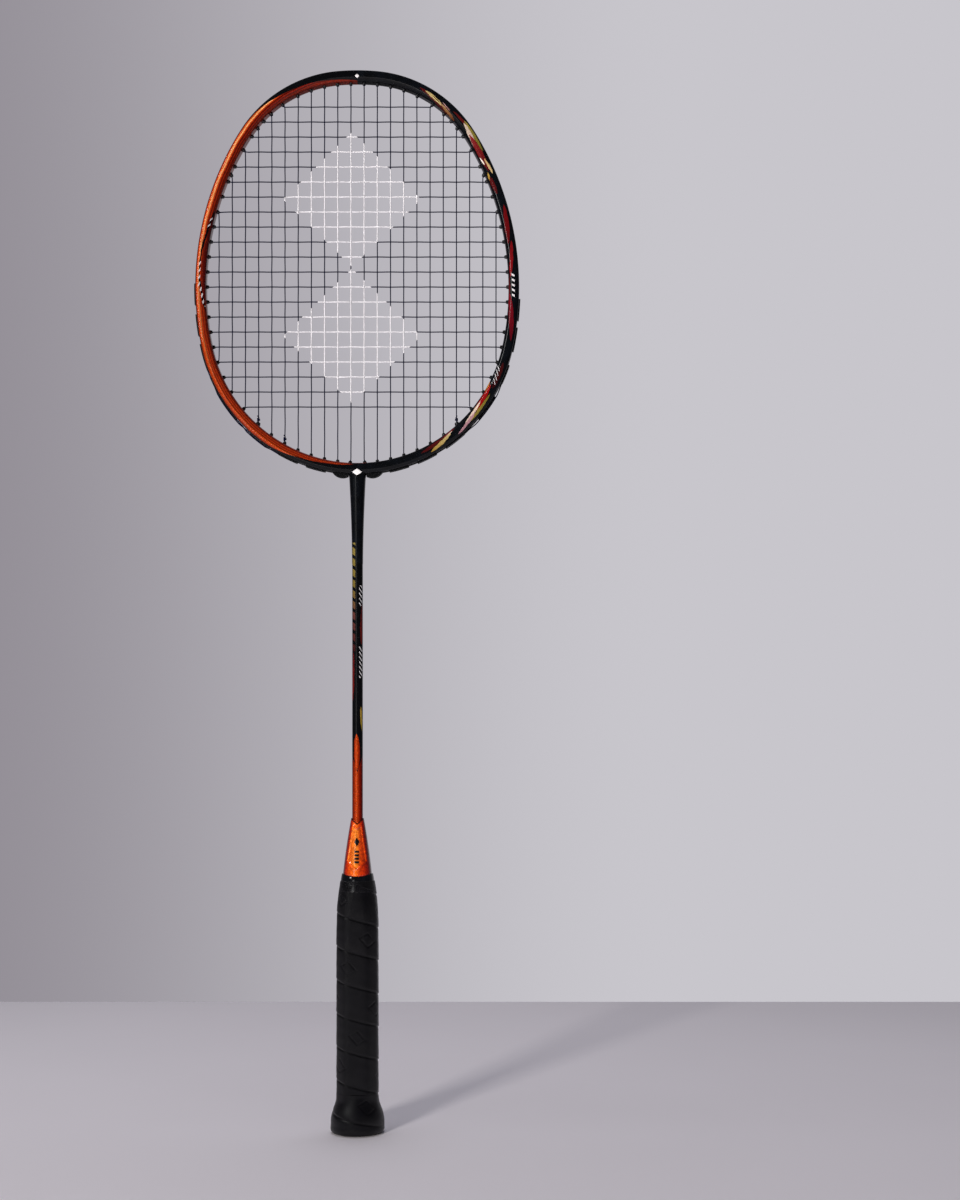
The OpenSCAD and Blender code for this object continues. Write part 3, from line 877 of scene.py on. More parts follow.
@dataclass(frozen=True)
class ShaftLacquer(Finish):
    """Sprayed lacquer on a rolled carbon tube: black above, candy orange below a flame."""

    radius: float = 3.4
    vee_z: float = 228.8
    vee_slope: float = 3.3
    flop_reach: float = 1.6
    metal_share: float = 0.6

    def paint(self, tree: Tree) -> dict[str, Any]:
        """Colour and metal share by height, with painted shade on the orange.

        Args:
            tree: The node tree.

        Returns:
            What goes into the shader's sockets.
        """
        x, _, z = place_mm(tree)
        size = add(tree, "Math", {0: x}, operation="ABSOLUTE")
        share = add(tree, "Math", {0: size, 1: self.radius}, operation="DIVIDE")
        # Painted shade: the orange darkens to dark red towards the tube's sides
        orange = add(tree, "ValToRGB", {0: share}, stops=((0.0, "DA5214"), (0.5, "B4340E"), (1.0, "641208")))
        light = grain(tree, 1.6, 3.0, 0.8, 1.2)
        orange = add(tree, "VectorMath", {0: orange, 3: light}, operation="SCALE")
        # Painted shade: the orange turns redder over the right
        orange = shaded_to_right(tree, orange, x, self.flop_reach)
        black = BLACK
        tints = (Streak(274, 306, -3.0, -2.4, 0.9, "6A1712", DARK_RED),
                 Streak(310, 337, 2.6, 3.0, 0.9, "6A1712", DARK_RED),
                 Streak(255, 271, 2.9, 2.3, 0.6, OLIVE, GOLD))
        for tint in tints:
            black = tint.over(tree, black, z, x)
        black = side_dashes(tree, black, x, z)
        for low, high in ((335, 348), (289, 309)):
            black = Dashes(low, high, 2.2, 2.2, 0.95, 3.1, 1.6, 0.3).over(tree, black, z, x, "D6D6DA")
        # The black ends in a vee with thin tails, round an orange flame
        edge = add(tree, "Math", {0: size, 1: self.vee_slope, 2: self.vee_z}, operation="MULTIPLY_ADD")
        off = add(tree, "Math", {0: z, 1: edge}, operation="SUBTRACT")
        dark = add(tree, "MapRange", {0: off, 1: -0.2, 2: 0.2}, interpolation_type="SMOOTHSTEP")
        white = Streak(230.5, 253.5, -0.1, -0.4, 2.0, "FFFFFF", "FFFFFF")
        flame = white.over(tree, "000000", z, x)
        rest = add(tree, "Math", {0: 1.0, 1: flame}, operation="SUBTRACT")
        dark = add(tree, "Math", {0: dark, 1: rest}, operation="MULTIPLY")
        colour = add(tree, "Mix", {0: dark, 6: orange, 7: black}, 2, data_type="RGBA")
        metal = add(tree, "MapRange", {0: dark, 3: self.metal_share, 4: 0.0})
        return {"Base Color": colour, "Metallic": metal}


@dataclass(frozen=True)
class CapLacquer(Finish):
    """Candy orange sprayed on moulded ABS, cloudy with coarse flake under a clear coat."""

    flop_reach: float = 2.4
    metal_share: float = 0.3
    mark_z: float = 185.0
    mark_half: Point = (1.7, 3.0)

    def paint(self, tree: Tree) -> dict[str, Any]:
        """Orange with painted shade that deepens it to red at the sides and over the right, with plain black
        marks in the panel.

        Args:
            tree: The node tree.

        Returns:
            What goes into the shader's sockets.
        """
        x, _, z = place_mm(tree)
        # Painted light and shade: brightest where the surface faces the front, dark red towards the sides
        facing = add(tree, "TexCoord", {}, "Normal")
        facing = add(tree, "SeparateXYZ", {0: facing}, "Y")
        facing = add(tree, "Math", {0: facing}, operation="ABSOLUTE")
        orange = add(tree, "ValToRGB", {0: facing}, stops=(
            (0.0, "300806"), (0.45, "7E1C0C"), (0.7, "C43A10"), (0.9, "F0701A"), (1.0, "F88C28")))
        inside = add(tree, "Attribute", {}, "Fac", attribute_name="panel")
        red = add(tree, "Mix", {0: 1.0, 6: orange, 7: "FFD2B8"}, 2, data_type="RGBA", blend_type="MULTIPLY")
        orange = add(tree, "Mix", {0: inside, 6: red, 7: orange}, 2, data_type="RGBA")
        # Painted shade: the orange turns redder over the right
        orange = shaded_to_right(tree, orange, x, self.flop_reach)
        rim = add(tree, "Attribute", {}, "Fac", attribute_name="rim")
        orange = add(tree, "Mix", {0: rim, 6: orange, 7: "32100A"}, 2, data_type="RGBA")
        cloud = grain(tree, 1.8, 4.0, 0.6, 1.45)
        orange = add(tree, "VectorMath", {0: orange, 3: cloud}, operation="SCALE")
        mark = lozenge(tree, x, z, (0.0, self.mark_z), self.mark_half)
        bars = Dashes(171.6, 180.2, 0.0, 0.0, 1.5, 2.2, 0.0, 0.62).mask(tree, z, x)
        mark = add(tree, "Math", {0: mark, 1: bars}, operation="MAXIMUM")
        colour = add(tree, "Mix", {0: mark, 6: orange, 7: "0C0C0E"}, 2, data_type="RGBA")
        metal = add(tree, "MapRange", {0: mark, 3: self.metal_share, 4: 0.0})
        return {"Base Color": colour, "Metallic": metal,
                "Normal": self.relief(tree, grain(tree, 0.4, 1.0, 0.0, 1.0), 0.006)}


@dataclass(frozen=True)
class Plain(Finish):
    """A plain coloured surface with a little mottling and a fine relief."""

    dark: str = "101013"
    light: str = "18181C"
    blotch: float = 3.0
    pore: float = 0.4
    depth: float = 0.01

    def paint(self, tree: Tree) -> dict[str, Any]:
        """Colour between dark and light, and the relief.

        Args:
            tree: The node tree.

        Returns:
            What goes into the shader's sockets.
        """
        mottle = grain(tree, self.blotch, 3.0, 0.0, 1.0)
        colour = add(tree, "Mix", {0: mottle, 6: self.dark, 7: self.light}, 2, data_type="RGBA")
        return {"Base Color": colour,
                "Normal": self.relief(tree, grain(tree, self.pore, 3.0, 0.0, 1.0), self.depth)}


@dataclass(frozen=True)
class GripPolyurethane(Finish):
    """Embossed polyurethane grip: a dull black skin with leather pores and a soft sheen."""

    def paint(self, tree: Tree) -> dict[str, Any]:
        """Near black, with painted shade that darkens the seams and embossed lines below the proud tape, with
        pores.

        Args:
            tree: The node tree.

        Returns:
            What goes into the shader's sockets.
        """
        # Painted shade: the seams and embossed lines are darker than the proud tape
        out_of_seam_shade = add(tree, "Attribute", {}, "Fac", attribute_name="proud")
        colour = add(tree, "ValToRGB", {0: out_of_seam_shade}, stops=((0.0, "020203"), (0.7, "040407"), (1.0, "0C0C0E")))
        cloud = grain(tree, 9.0, 3.0, 0.75, 1.2)
        colour = add(tree, "VectorMath", {0: colour, 3: cloud}, operation="SCALE")
        # Pores are 0.5 mm apart, a little coarser than real ones so that they show
        pores = add(tree, "TexCoord", {}, "Object")
        pores = add(tree, "TexVoronoi", {"Vector": pores, "Scale": 1.0 / (0.5 * MM)})
        rough = grain(tree, 1.2, 3.0, 0.36, 0.5)
        return {"Base Color": colour, "Roughness": rough, "Normal": self.relief(tree, pores, 0.02)}


@dataclass(frozen=True)
class StringNylon(Finish):
    """Coated multifilament nylon: satin navy black, stencilled with two plain lozenges."""

    stencil_x: float = -3.5
    stencil_z: tuple[float, float] = (594.0, 507.0)
    stencil_half: Point = (44.0, 43.0)

    def paint(self, tree: Tree) -> dict[str, Any]:
        """Navy black, pale where the stencil's ink is.

        Args:
            tree: The node tree.

        Returns:
            What goes into the shader's sockets.
        """
        x, _, z = place_mm(tree)
        middles = [(self.stencil_x, height) for height in self.stencil_z]
        masks = [lozenge(tree, x, z, middle, self.stencil_half) for middle in middles]
        mask = add(tree, "Math", {0: masks[0], 1: masks[1]}, operation="MAXIMUM")
        thin = grain(tree, 1.5, 2.0, 0.8, 1.0)
        mask = add(tree, "Math", {0: mask, 1: thin}, operation="MULTIPLY")
        colour = add(tree, "Mix", {0: mask, 6: "040826", 7: "F6F6FB"}, 2, data_type="RGBA")
        return {"Base Color": colour, "Normal": self.relief(tree, grain(tree, 0.3, 2.0, 0.0, 1.0), 0.01)}


@dataclass(frozen=True)
class TurnedBeech(Finish):
    """Beech, sawn and turned: pale, with fine fibres along the handle and small dark flecks."""

    def paint(self, tree: Tree) -> dict[str, Any]:
        """Fibres stretched along the handle.

        Args:
            tree: The node tree.

        Returns:
            What goes into the shader's sockets.
        """
        spot = add(tree, "TexCoord", {}, "Object")
        spot = add(tree, "VectorMath", {0: spot, 1: (1.0, 1.0, 0.06)}, operation="MULTIPLY")
        fibre = add(tree, "TexNoise", {"Vector": spot, "Scale": 1.0 / (0.9 * MM), "Detail": 5.0})
        colour = add(tree, "ValToRGB", {0: fibre}, stops=((0.3, "A87C50"), (0.5, "C9A274"), (0.7, "DDBE92")))
        return {"Base Color": colour, "Normal": self.relief(tree, fibre, 0.03)}


# Under a clear coat the colour layer hardly mirrors on its own
HEAD_LACQUER = HeadLacquer("clear_coated_candy_lacquer", 0.36, coat=0.38, specular=0.07)
THROAT_LACQUER = ThroatLacquer("clear_coated_black_lacquer", 0.3, coat=0.35, specular=0.1)
SHAFT_LACQUER = ShaftLacquer("clear_coated_shaft_lacquer", 0.34, coat=0.35, coat_roughness=0.06, specular=0.1)
CAP_LACQUER = CapLacquer("flake_lacquer_on_moulded_abs", 0.34, coat=1.0, coat_roughness=0.06, specular=0.3)
# Polished ABS: near black, with a mirror-like skin
COLLAR_ABS = Plain("polished_black_abs", 0.14, ior=1.54, dark="08090C", light="0E1014", depth=0.002)
# Moulded nylon: black and satin, with a faint mottle. The pads are a little darker than the barrels
GROMMET_NYLON = Plain("moulded_nylon_grommet", 0.34, ior=1.53, dark="0B0B0E", light="17181C", pore=0.3,
                      depth=0.004)
PAD_NYLON = Plain("moulded_nylon_pad", 0.36, ior=1.53, specular=0.3, dark="050607", light="0B0C0E",
                  pore=0.5, depth=0.004)
# Calendered vinyl tape: glossy black with slight waves
FINISHING_VINYL = Plain("calendered_vinyl_tape", 0.2, ior=1.53, dark="09090B", light="131316", pore=1.6,
                        depth=0.03)
# Moulded polypropylene disc: dull dark grey
BUTT_PLASTIC = Plain("moulded_polypropylene", 0.48, ior=1.49, dark="131316", light="1D1D20", pore=0.6,
                     depth=0.015)
GRIP_PU = GripPolyurethane("embossed_polyurethane", 0.42, ior=1.5, specular=0.28, sheen=0.02)
STRING_NYLON = StringNylon("coated_multifilament_nylon", 0.5, ior=1.53, specular=0.07)
# Machined aluminium: bright grey, with a fine, even satin
JOINT_METAL = Plain("machined_aluminium", 0.34, metallic=1.0, dark="B4B4B8", light="CDCDD0", blotch=2.0,
                    pore=0.3, depth=0.01)
# Nickel-plated steel: warm grey, smooth and bright
TACK_STEEL = Plain("nickel_plated_steel", 0.22, metallic=1.0, dark="A8A49C", light="C4C0B6", blotch=1.0,
                   pore=0.3, depth=0.004)
HANDLE_BEECH = TurnedBeech("turned_beech", 0.55, ior=1.5)
# Matt emulsion on board: pale, grainless and without reflections
STUDIO_PAINT = Plain("matt_emulsion_paint", 0.85, dark="E6E4EA", light="EAE8EE", blotch=400.0, pore=2.0,
                     depth=0.02)


# --- Head -------------------------------------------------------------------


@dataclass(frozen=True)
class Arc:
    """One arc of the head's outer edge, with its span from straight up."""

    x: float
    z: float
    radius: float
    first: float
    last: float


@dataclass(frozen=True)
class Outline:
    """The head's outer edge: four tangent arcs from the crown to the throat, mirrored."""

    crown: tuple[float, float] = (150.0, 4.5)
    shoulder: tuple[float, float] = (81.3, 57.7)
    side: tuple[float, float] = (186.2, 101.7)
    arcs: tuple[Arc, ...] = field(init=False)

    def __post_init__(self) -> None:
        """Works out the arcs' centres. The last radius closes the outline on the middle line."""
        ends = [0.0, self.crown[1], self.shoulder[1], self.side[1], 180.0]
        radii = [self.crown[0], self.shoulder[0], self.side[0]]
        drift = sum((radii[i] - radii[i + 1]) * math.sin(math.radians(ends[i + 1])) for i in (0, 1))
        radii.append(radii[2] + drift / math.sin(math.radians(ends[3])))
        x, z = 0.0, box_mm("head_frame")[1].z - radii[0]
        arcs = []
        for i, radius in enumerate(radii):
            if i:
                turn = math.radians(ends[i])
                x += (radii[i - 1] - radius) * math.sin(turn)
                z += (radii[i - 1] - radius) * math.cos(turn)
            arcs.append(Arc(x, z, radius, ends[i], ends[i + 1]))
        object.__setattr__(self, "arcs", tuple(arcs))

    def arc(self, phi: float) -> Arc:
        """The arc at an angle of the right half."""
        return next(a for a in self.arcs if abs(phi) <= a.last + 1e-9)

    def at(self, phi: float, inset: float) -> np.ndarray:
        """Point of the outline set in.

        Args:
            phi: Angle from straight up. Negative angles are on the left.
            inset: How far it is set in.

        Returns:
            X and Z of the point.
        """
        arc = self.arc(phi)
        turn = math.radians(phi)
        reach = arc.radius - inset
        middle = -arc.x if phi < 0 else arc.x
        return np.array([middle + reach * math.sin(turn), arc.z + reach * math.cos(turn)])

    def length(self, phi: float, inset: float) -> float:
        """Length from the crown to an angle, set in."""
        passed = [a for a in self.arcs if abs(phi) > a.first]
        return math.radians(sum((a.radius - inset) * (min(abs(phi), a.last) - a.first) for a in passed))

    def angles(self, step: float) -> list[float]:
        """Angles about step apart all the way round, from the throat over the crown.

        Args:
            step: Length between two of them along the outer edge.

        Returns:
            The angles.
        """
        half = [0.0]
        for arc in self.arcs:
            count = math.ceil(arc.radius * math.radians(arc.last - arc.first) / step)
            half += [arc.first + (arc.last - arc.first) * (k + 1) / count for k in range(count)]
        return [-phi for phi in half[:0:-1]] + half[:-1]

    def angle_of_x(self, x: float, inset: float, up: bool) -> float:
        """Angle at which an upright line meets the outline set in.

        Args:
            x: Place of the line, 0 or more.
            inset: How far the outline is set in.
            up: True takes the crossing above, and False the one below.

        Returns:
            The angle, on the right.
        """
        for arc in self.arcs:
            share = (x - arc.x) / (arc.radius - inset)
            phi = math.degrees(math.asin(share)) if abs(share) <= 1 else -1.0
            phi = phi if up else 180.0 - phi
            if arc.first <= phi <= arc.last:
                return phi
        raise ValueError(f"no outline at x {x}")

    def angle_of_z(self, z: float, inset: float) -> float:
        """Angle at which a level line meets the outline set in.

        Args:
            z: Height of the line.
            inset: How far the outline is set in.

        Returns:
            The angle, on the right.
        """
        for arc in self.arcs:
            share = (z - arc.z) / (arc.radius - inset)
            phi = math.degrees(math.acos(share)) if abs(share) <= 1 else -1.0
            if arc.first <= phi <= arc.last:
                return phi
        raise ValueError(f"no outline at z {z}")


@dataclass(frozen=True)
class HeadFrame:
    """The carbon hoop: a rounded band with a string groove in its outer face."""

    outline: Outline
    width: float = 6.8
    depth: float = 10.4
    groove: float = 1.4
    groove_half: float = 2.0
    outer_flat: float = 2.8
    outer_corner: float = 2.7
    outer_power: float = 0.87
    inner_flat: float = 1.9
    inner_start: float = 3.9
    inner_power: float = 0.95
    ring_step: float = 1.9

    def section(self) -> np.ndarray:
        """The band's section, as rows of depth in from the outer face, and Y.

        Returns:
            The points, once round.
        """
        half = self.depth / 2
        lip = self.groove_half
        front = [(self.groove, 0.5 * lip), (self.groove, lip - 0.25), (self.groove - 0.12, lip - 0.06),
                 (0.5, lip + 0.08), (0.16, lip + 0.16), (0.03, lip + 0.34), (0.0, lip + 0.6)]
        outer, low = self.outer_corner, self.outer_flat
        for turn in np.radians(np.linspace(0.0, 90.0, 10))[1:]:
            across = outer - outer * math.cos(turn) ** self.outer_power
            front.append((across, low + (half - low) * math.sin(turn) ** self.outer_power))
        inner, low = self.inner_start, self.inner_flat
        for turn in np.radians(np.linspace(0.0, 90.0, 12)):
            across = inner + (self.width - inner) * math.sin(turn) ** self.inner_power
            front.append((across, low + (half - low) * max(math.cos(turn), 0.0) ** self.inner_power))
        front.append((self.width, low / 2))
        near = np.array(front) * [1.0, -1.0]
        return np.vstack([near, near[::-1] * [1.0, -1.0]])

    def build(self) -> None:
        """Sweeps the section round the outline and paints it."""
        section = self.section()
        angles = self.outline.angles(self.ring_step)
        rings = np.zeros((len(angles), len(section), 3))
        along = np.zeros(rings.shape[:2])
        for row, phi in enumerate(angles):
            turn = math.radians(phi)
            edge = self.outline.at(phi, 0.0)
            rings[row, :, 0] = edge[0] - section[:, 0] * math.sin(turn)
            rings[row, :, 1] = section[:, 1]
            rings[row, :, 2] = edge[1] - section[:, 0] * math.cos(turn)
            along[row] = self.outline.length(phi, self.width / 2)
        inset = np.broadcast_to(section[:, 0], along.shape)
        piece = skin("head_frame_lacquered", rings, closed=True, values={"along": along, "inset": inset})
        place(piece, Slot.FRAME, HEAD_LACQUER, "head_frame")


@dataclass(frozen=True)
class Throat:
    """The sleeve that swells from the shaft into the head, and spreads over the hoop's faces."""

    outline: Outline
    shaft_r: float = 3.4
    hoop_r: float = 5.4
    step: float = 0.12
    swell_power: float = 1.7
    spread: float = 4.2
    thinning: float = 0.62
    squareness: float = 0.34
    rise: float = 6.2
    lead: float = 3.0
    around: int = 72

    def build(self) -> None:
        """Lofts level sections from the shaft to the hoop."""
        low = box_mm("throat_sleeve")[0].z
        bow = self.outline.at(180.0, 0.0)[1]
        turn = columns(self.around)
        rings = []
        levels = np.concatenate([[low, low, low + 0.15], np.linspace(low + 1.5, bow - 1.0, 34),
                                 np.linspace(bow - 0.5, bow + self.rise, 14)])
        for row, z in enumerate(levels):
            share = min((z - low) / (bow - low), 1.0)
            over = smooth((z - bow + self.lead) / (self.rise + self.lead))
            swell = share**self.swell_power
            base = self.shaft_r + self.step + (self.hoop_r - self.shaft_r - self.step) * swell
            base = self.shaft_r - 0.2 if row == 0 else base
            wide = base + self.spread * over**2
            deep = base - self.thinning * over**3
            power = 1.0 - self.squareness * over
            x = wide * np.sign(np.sin(turn)) * np.abs(np.sin(turn)) ** power
            y = -deep * np.sign(np.cos(turn)) * np.abs(np.cos(turn)) ** power
            rings.append(np.stack([x, y, np.full_like(x, z)], axis=1))
        place(skin("throat_sleeve_lacquered", np.array(rings)), Slot.THROAT, THROAT_LACQUER, "throat_sleeve")
        dress(JOINT_METAL, "t_joint")


# --- Strings ----------------------------------------------------------------


@dataclass(frozen=True)
class Barrel:
    """A grommet's barrel in the right half: its arc, its mouth and the way it points, as x, z."""

    arc: Arc
    mouth: np.ndarray
    way: np.ndarray

    def reach(self, inset: float) -> float:
        """Length from the mouth to the outline set in.

        Args:
            inset: How far the outline is set in.

        Returns:
            The length along the barrel.
        """
        q = self.mouth - (self.arc.x, self.arc.z)
        along = float(q @ self.way)
        return math.sqrt(along**2 - float(q @ q) + (self.arc.radius - inset) ** 2) - along

    def exit_angle(self, inset: float) -> float:
        """Angle from straight up at which the barrel meets the outline set in."""
        end = self.mouth - (self.arc.x, self.arc.z) + self.reach(inset) * self.way
        return math.degrees(math.atan2(end[0], end[1]))


@dataclass
class Stringing:
    """Two strings woven through the hoop: one makes the mains and the other the crosses."""

    outline: Outline
    mains: int = 11
    main_pitch: float = 8.4
    crosses: int = 21
    cross_first: float = 22.1
    cross_pitch: float = 9.555
    diameter: float = 0.7
    mouth_in: float = 8.3
    throat_splay: float = 24.0
    share_gap: float = 2.4
    groove_line: float = 0.63
    pad_line: float = -0.52
    stacked_line: float = -1.25
    layer: float = 0.36
    main_weave: float = 0.53
    cross_weave: float = 0.18
    end_gap: float = 0.12
    mouth_overlap: float = 0.3
    leg_start: float = 0.5
    run_step: float = 1.2
    turn_step: float = 0.45
    sides: int = 10
    main_tie: int = 7
    cross_tie: int = 5
    left_groove_turns: int = 12
    right_groove_turns: int = 13
    first_tail: float = 7.0
    knot_turns: float = 2.6
    knot_pitch: float = 0.72
    knot_lift: float = 0.75
    knot_slack: float = 0.03
    tops: list[Barrel] = field(init=False)
    feet: list[Barrel] = field(init=False)
    ends: list[Barrel] = field(init=False)

    def __post_init__(self) -> None:
        """Aims every barrel, and joins the ones that a main and a cross share."""
        up, out = np.array([0.0, 1.0]), np.array([1.0, 0.0])
        inset = self.mouth_in
        top_phi = [self.outline.angle_of_x(self.main_x(i), inset, True) for i in range(self.mains)]
        foot_phi = [self.outline.angle_of_x(self.main_x(i), inset, False) for i in range(self.mains)]
        side_phi = [self.outline.angle_of_z(self.cross_z(j), inset) for j in range(self.crosses)]
        self.ends = []
        for phi in side_phi:
            top, foot = self.partner(phi, top_phi), self.partner(phi, foot_phi)
            if top >= 0:
                self.ends.append(self.barrel((phi + top_phi[top]) / 2, out + up))
            elif foot >= 0:
                self.ends.append(self.barrel((phi + foot_phi[foot]) / 2, out - up))
            else:
                self.ends.append(self.barrel(phi, out))
        self.tops = [self.shared_or(phi, side_phi, up) for phi in top_phi]
        self.feet = [self.shared_or(phi, side_phi, -up) for phi in foot_phi]
        turn = math.radians(self.throat_splay)
        first = self.feet[0]
        self.feet[0] = Barrel(first.arc, first.mouth, np.array([math.sin(turn), -math.cos(turn)]))

    def main_x(self, i: int) -> float:
        """Place of a main string, counted out from the middle."""
        return self.main_pitch * (i + 0.5)

    def cross_z(self, j: int) -> float:
        """Height of a cross string, counted down from the crown."""
        return self.outline.at(0.0, 0.0)[1] - self.cross_first - self.cross_pitch * j

    def partner(self, phi: float, others: list[float]) -> int:
        """Which of the others is close enough to share a barrel, or -1.

        Args:
            phi: Angle of the end that looks for a partner.
            others: Angles of the others.

        Returns:
            The index of the first one within reach.
        """
        reach = self.outline.arc(phi).radius
        near = [i for i, p in enumerate(others) if abs(math.radians(phi - p)) * reach < self.share_gap]
        return near[0] if near else -1

    def barrel(self, phi: float, line: np.ndarray) -> Barrel:
        """A barrel half way between square to the hoop and in line with its string.

        Args:
            phi: Angle of its mouth.
            line: The way its string leaves the head.

        Returns:
            The barrel.
        """
        turn = math.radians(phi)
        way = np.array([math.sin(turn), math.cos(turn)]) + line / np.linalg.norm(line)
        return Barrel(self.outline.arc(phi), self.outline.at(phi, self.mouth_in), way / np.linalg.norm(way))

    def shared_or(self, phi: float, side_phi: list[float], line: np.ndarray) -> Barrel:
        """The barrel that a main shares with a cross, or its own."""
        cross = self.partner(phi, side_phi)
        return self.ends[cross] if cross >= 0 else self.barrel(phi, line)

    def leg(self, barrel: Barrel, side: Side, line: float, y: float) -> np.ndarray:
        """Path through a barrel from its mouth to the line outside.

        Args:
            barrel: The barrel.
            side: The half that it is in.
            line: How far in from the outer face the string then lies.
            y: Its depth.

        Returns:
            The path's points.
        """
        reach = barrel.reach(line)
        steps = np.linspace(self.leg_start, reach, max(3, round(reach / self.turn_step)))
        flat = barrel.mouth + steps[:, None] * barrel.way
        return np.stack([side.value * flat[:, 0], np.full(len(flat), y), flat[:, 1]], axis=1)

    def outside(
        self, first: float, last: float, lines: np.ndarray | float, y: np.ndarray | float
    ) -> np.ndarray:
        """Path along the hoop's outer face.

        Args:
            first: Angle where it starts.
            last: Angle where it ends.
            lines: How far in from the outer face it lies: a number, or numbers to spread along it.
            y: Its depth: a number, or numbers to spread along it.

        Returns:
            The path's points, without its two corners.
        """
        length = abs(self.outline.length(last, 0.0) - self.outline.length(first, 0.0))
        if first * last < 0:
            length = self.outline.length(last, 0.0) + self.outline.length(first, 0.0)
        shares = np.linspace(0.0, 1.0, max(4, round(length / self.turn_step)))[1:-1]
        insets = np.interp(shares, np.linspace(0, 1, np.size(lines)), np.atleast_1d(lines))
        depths = np.interp(shares, np.linspace(0, 1, np.size(y)), np.atleast_1d(y))
        flat = [self.outline.at(first + (last - first) * s, inset) for s, inset in zip(shares, insets)]
        return np.array([(p[0], depth, p[1]) for p, depth in zip(flat, depths)])

    def turn(self, a: tuple[Barrel, Side], b: tuple[Barrel, Side], line: float, y: float) -> np.ndarray:
        """Path out through one barrel, along the hoop and in through the next.

        Args:
            a: The first barrel and its half.
            b: The second barrel and its half.
            line: How far in from the outer face the string lies.
            y: Its depth.

        Returns:
            The path's points.
        """
        first = a[1].value * a[0].exit_angle(line)
        last = b[1].value * b[0].exit_angle(line)
        return np.vstack([self.leg(*a, line, y), self.outside(first, last, line, y),
                          self.leg(*b, line, y)[::-1]])

    def depths(self, places: np.ndarray, swing: float, rest: float) -> np.ndarray:
        """Depth of a woven run: over and under at whole numbers, and level at its ends.

        Args:
            places: Place of each point, counted in crossings.
            swing: Its depth at crossing 0.
            rest: Its depth at both ends.

        Returns:
            The depths.
        """
        low, high = min(places[0], places[-1]), max(places[0], places[-1])
        first, last = math.ceil(low + self.end_gap), math.floor(high - self.end_gap)
        held = np.clip(places, first, last)
        wave = swing * np.cos(np.pi * held)
        lead = np.where(places < first, (first - places) / (first - low), (places - last) / (high - last))
        fade = smooth(np.where(held == places, 0.0, lead))
        return wave * (1.0 - fade) + rest * fade

    def main_run(self, i: int, side: Side, upwards: bool) -> np.ndarray:
        """Path of one main between its two mouths.

        Args:
            i: Its number, counted out from the middle.
            side: Its half.
            upwards: True runs from the foot to the top.

        Returns:
            The path's points.
        """
        inset = self.mouth_in - self.mouth_overlap
        top = self.outline.at(self.outline.angle_of_x(self.main_x(i), inset, True), inset)[1]
        foot = self.outline.at(self.outline.angle_of_x(self.main_x(i), inset, False), inset)[1]
        z = np.linspace(foot, top, round((top - foot) / self.run_step))[1:-1]
        column = i if side is Side.RIGHT else -i - 1
        places = (self.cross_z(0) - z) / self.cross_pitch
        swing = -self.main_weave if column % 2 == 0 else self.main_weave
        y = self.depths(places, swing, -self.layer)
        path = np.stack([np.full_like(z, side.value * self.main_x(i)), y, z], axis=1)
        return path if upwards else path[::-1]

    def cross_run(self, j: int, rightwards: bool) -> np.ndarray:
        """Path of one cross between its two mouths.

        Args:
            j: Its number, counted down from the crown.
            rightwards: True runs from left to right.

        Returns:
            The path's points.
        """
        inset = self.mouth_in - self.mouth_overlap
        z = self.cross_z(j)
        reach = self.outline.at(self.outline.angle_of_z(z, inset), inset)[0]
        x = np.linspace(-reach, reach, round(2 * reach / self.run_step))[1:-1]
        places = x / self.main_pitch - 0.5
        y = self.depths(places, self.cross_weave if j % 2 == 0 else -self.cross_weave, self.layer)
        path = np.stack([x, y, np.full_like(x, z)], axis=1)
        return path if rightwards else path[::-1]

    def main_path(self) -> np.ndarray:
        """The mains' whole path, from one tie-off to the other.

        Returns:
            The path's points.
        """
        mains = [(i, Side.LEFT) for i in reversed(range(self.mains))]
        mains += [(i, Side.RIGHT) for i in range(self.mains)]
        path = [self.main_tail(Side.LEFT)[::-1]]
        for (i, side), after in zip(mains, mains[1:] + [None]):
            upwards = (i % 2 == 0) == (side is Side.LEFT)
            path.append(self.main_run(i, side, upwards))
            if after:
                ends = self.tops if upwards else self.feet
                line = self.groove_line if upwards else self.pad_line
                path.append(self.turn((ends[i], side), (ends[after[0]], after[1]), line, -self.layer))
        path.append(self.main_tail(Side.RIGHT))
        return np.vstack(path)

    def main_tail(self, side: Side) -> np.ndarray:
        """Path from the last main's foot over the pads to its tie-off hole.

        Args:
            side: The half that it is in.

        Returns:
            The path's points, from the foot.
        """
        last, tie = self.feet[self.mains - 1], self.feet[self.main_tie]
        y = -self.layer
        first = side.value * last.exit_angle(self.pad_line)
        end = side.value * tie.exit_angle(self.pad_line)
        lines = np.array([self.pad_line] * 3 + [self.stacked_line] * 5 + [self.pad_line] * 2)
        depths = np.array([y] * 9 + [self.layer])
        return np.vstack([self.leg(last, side, self.pad_line, y), self.outside(first, end, lines, depths),
                          self.leg(tie, side, self.pad_line, self.layer)[::-1]])

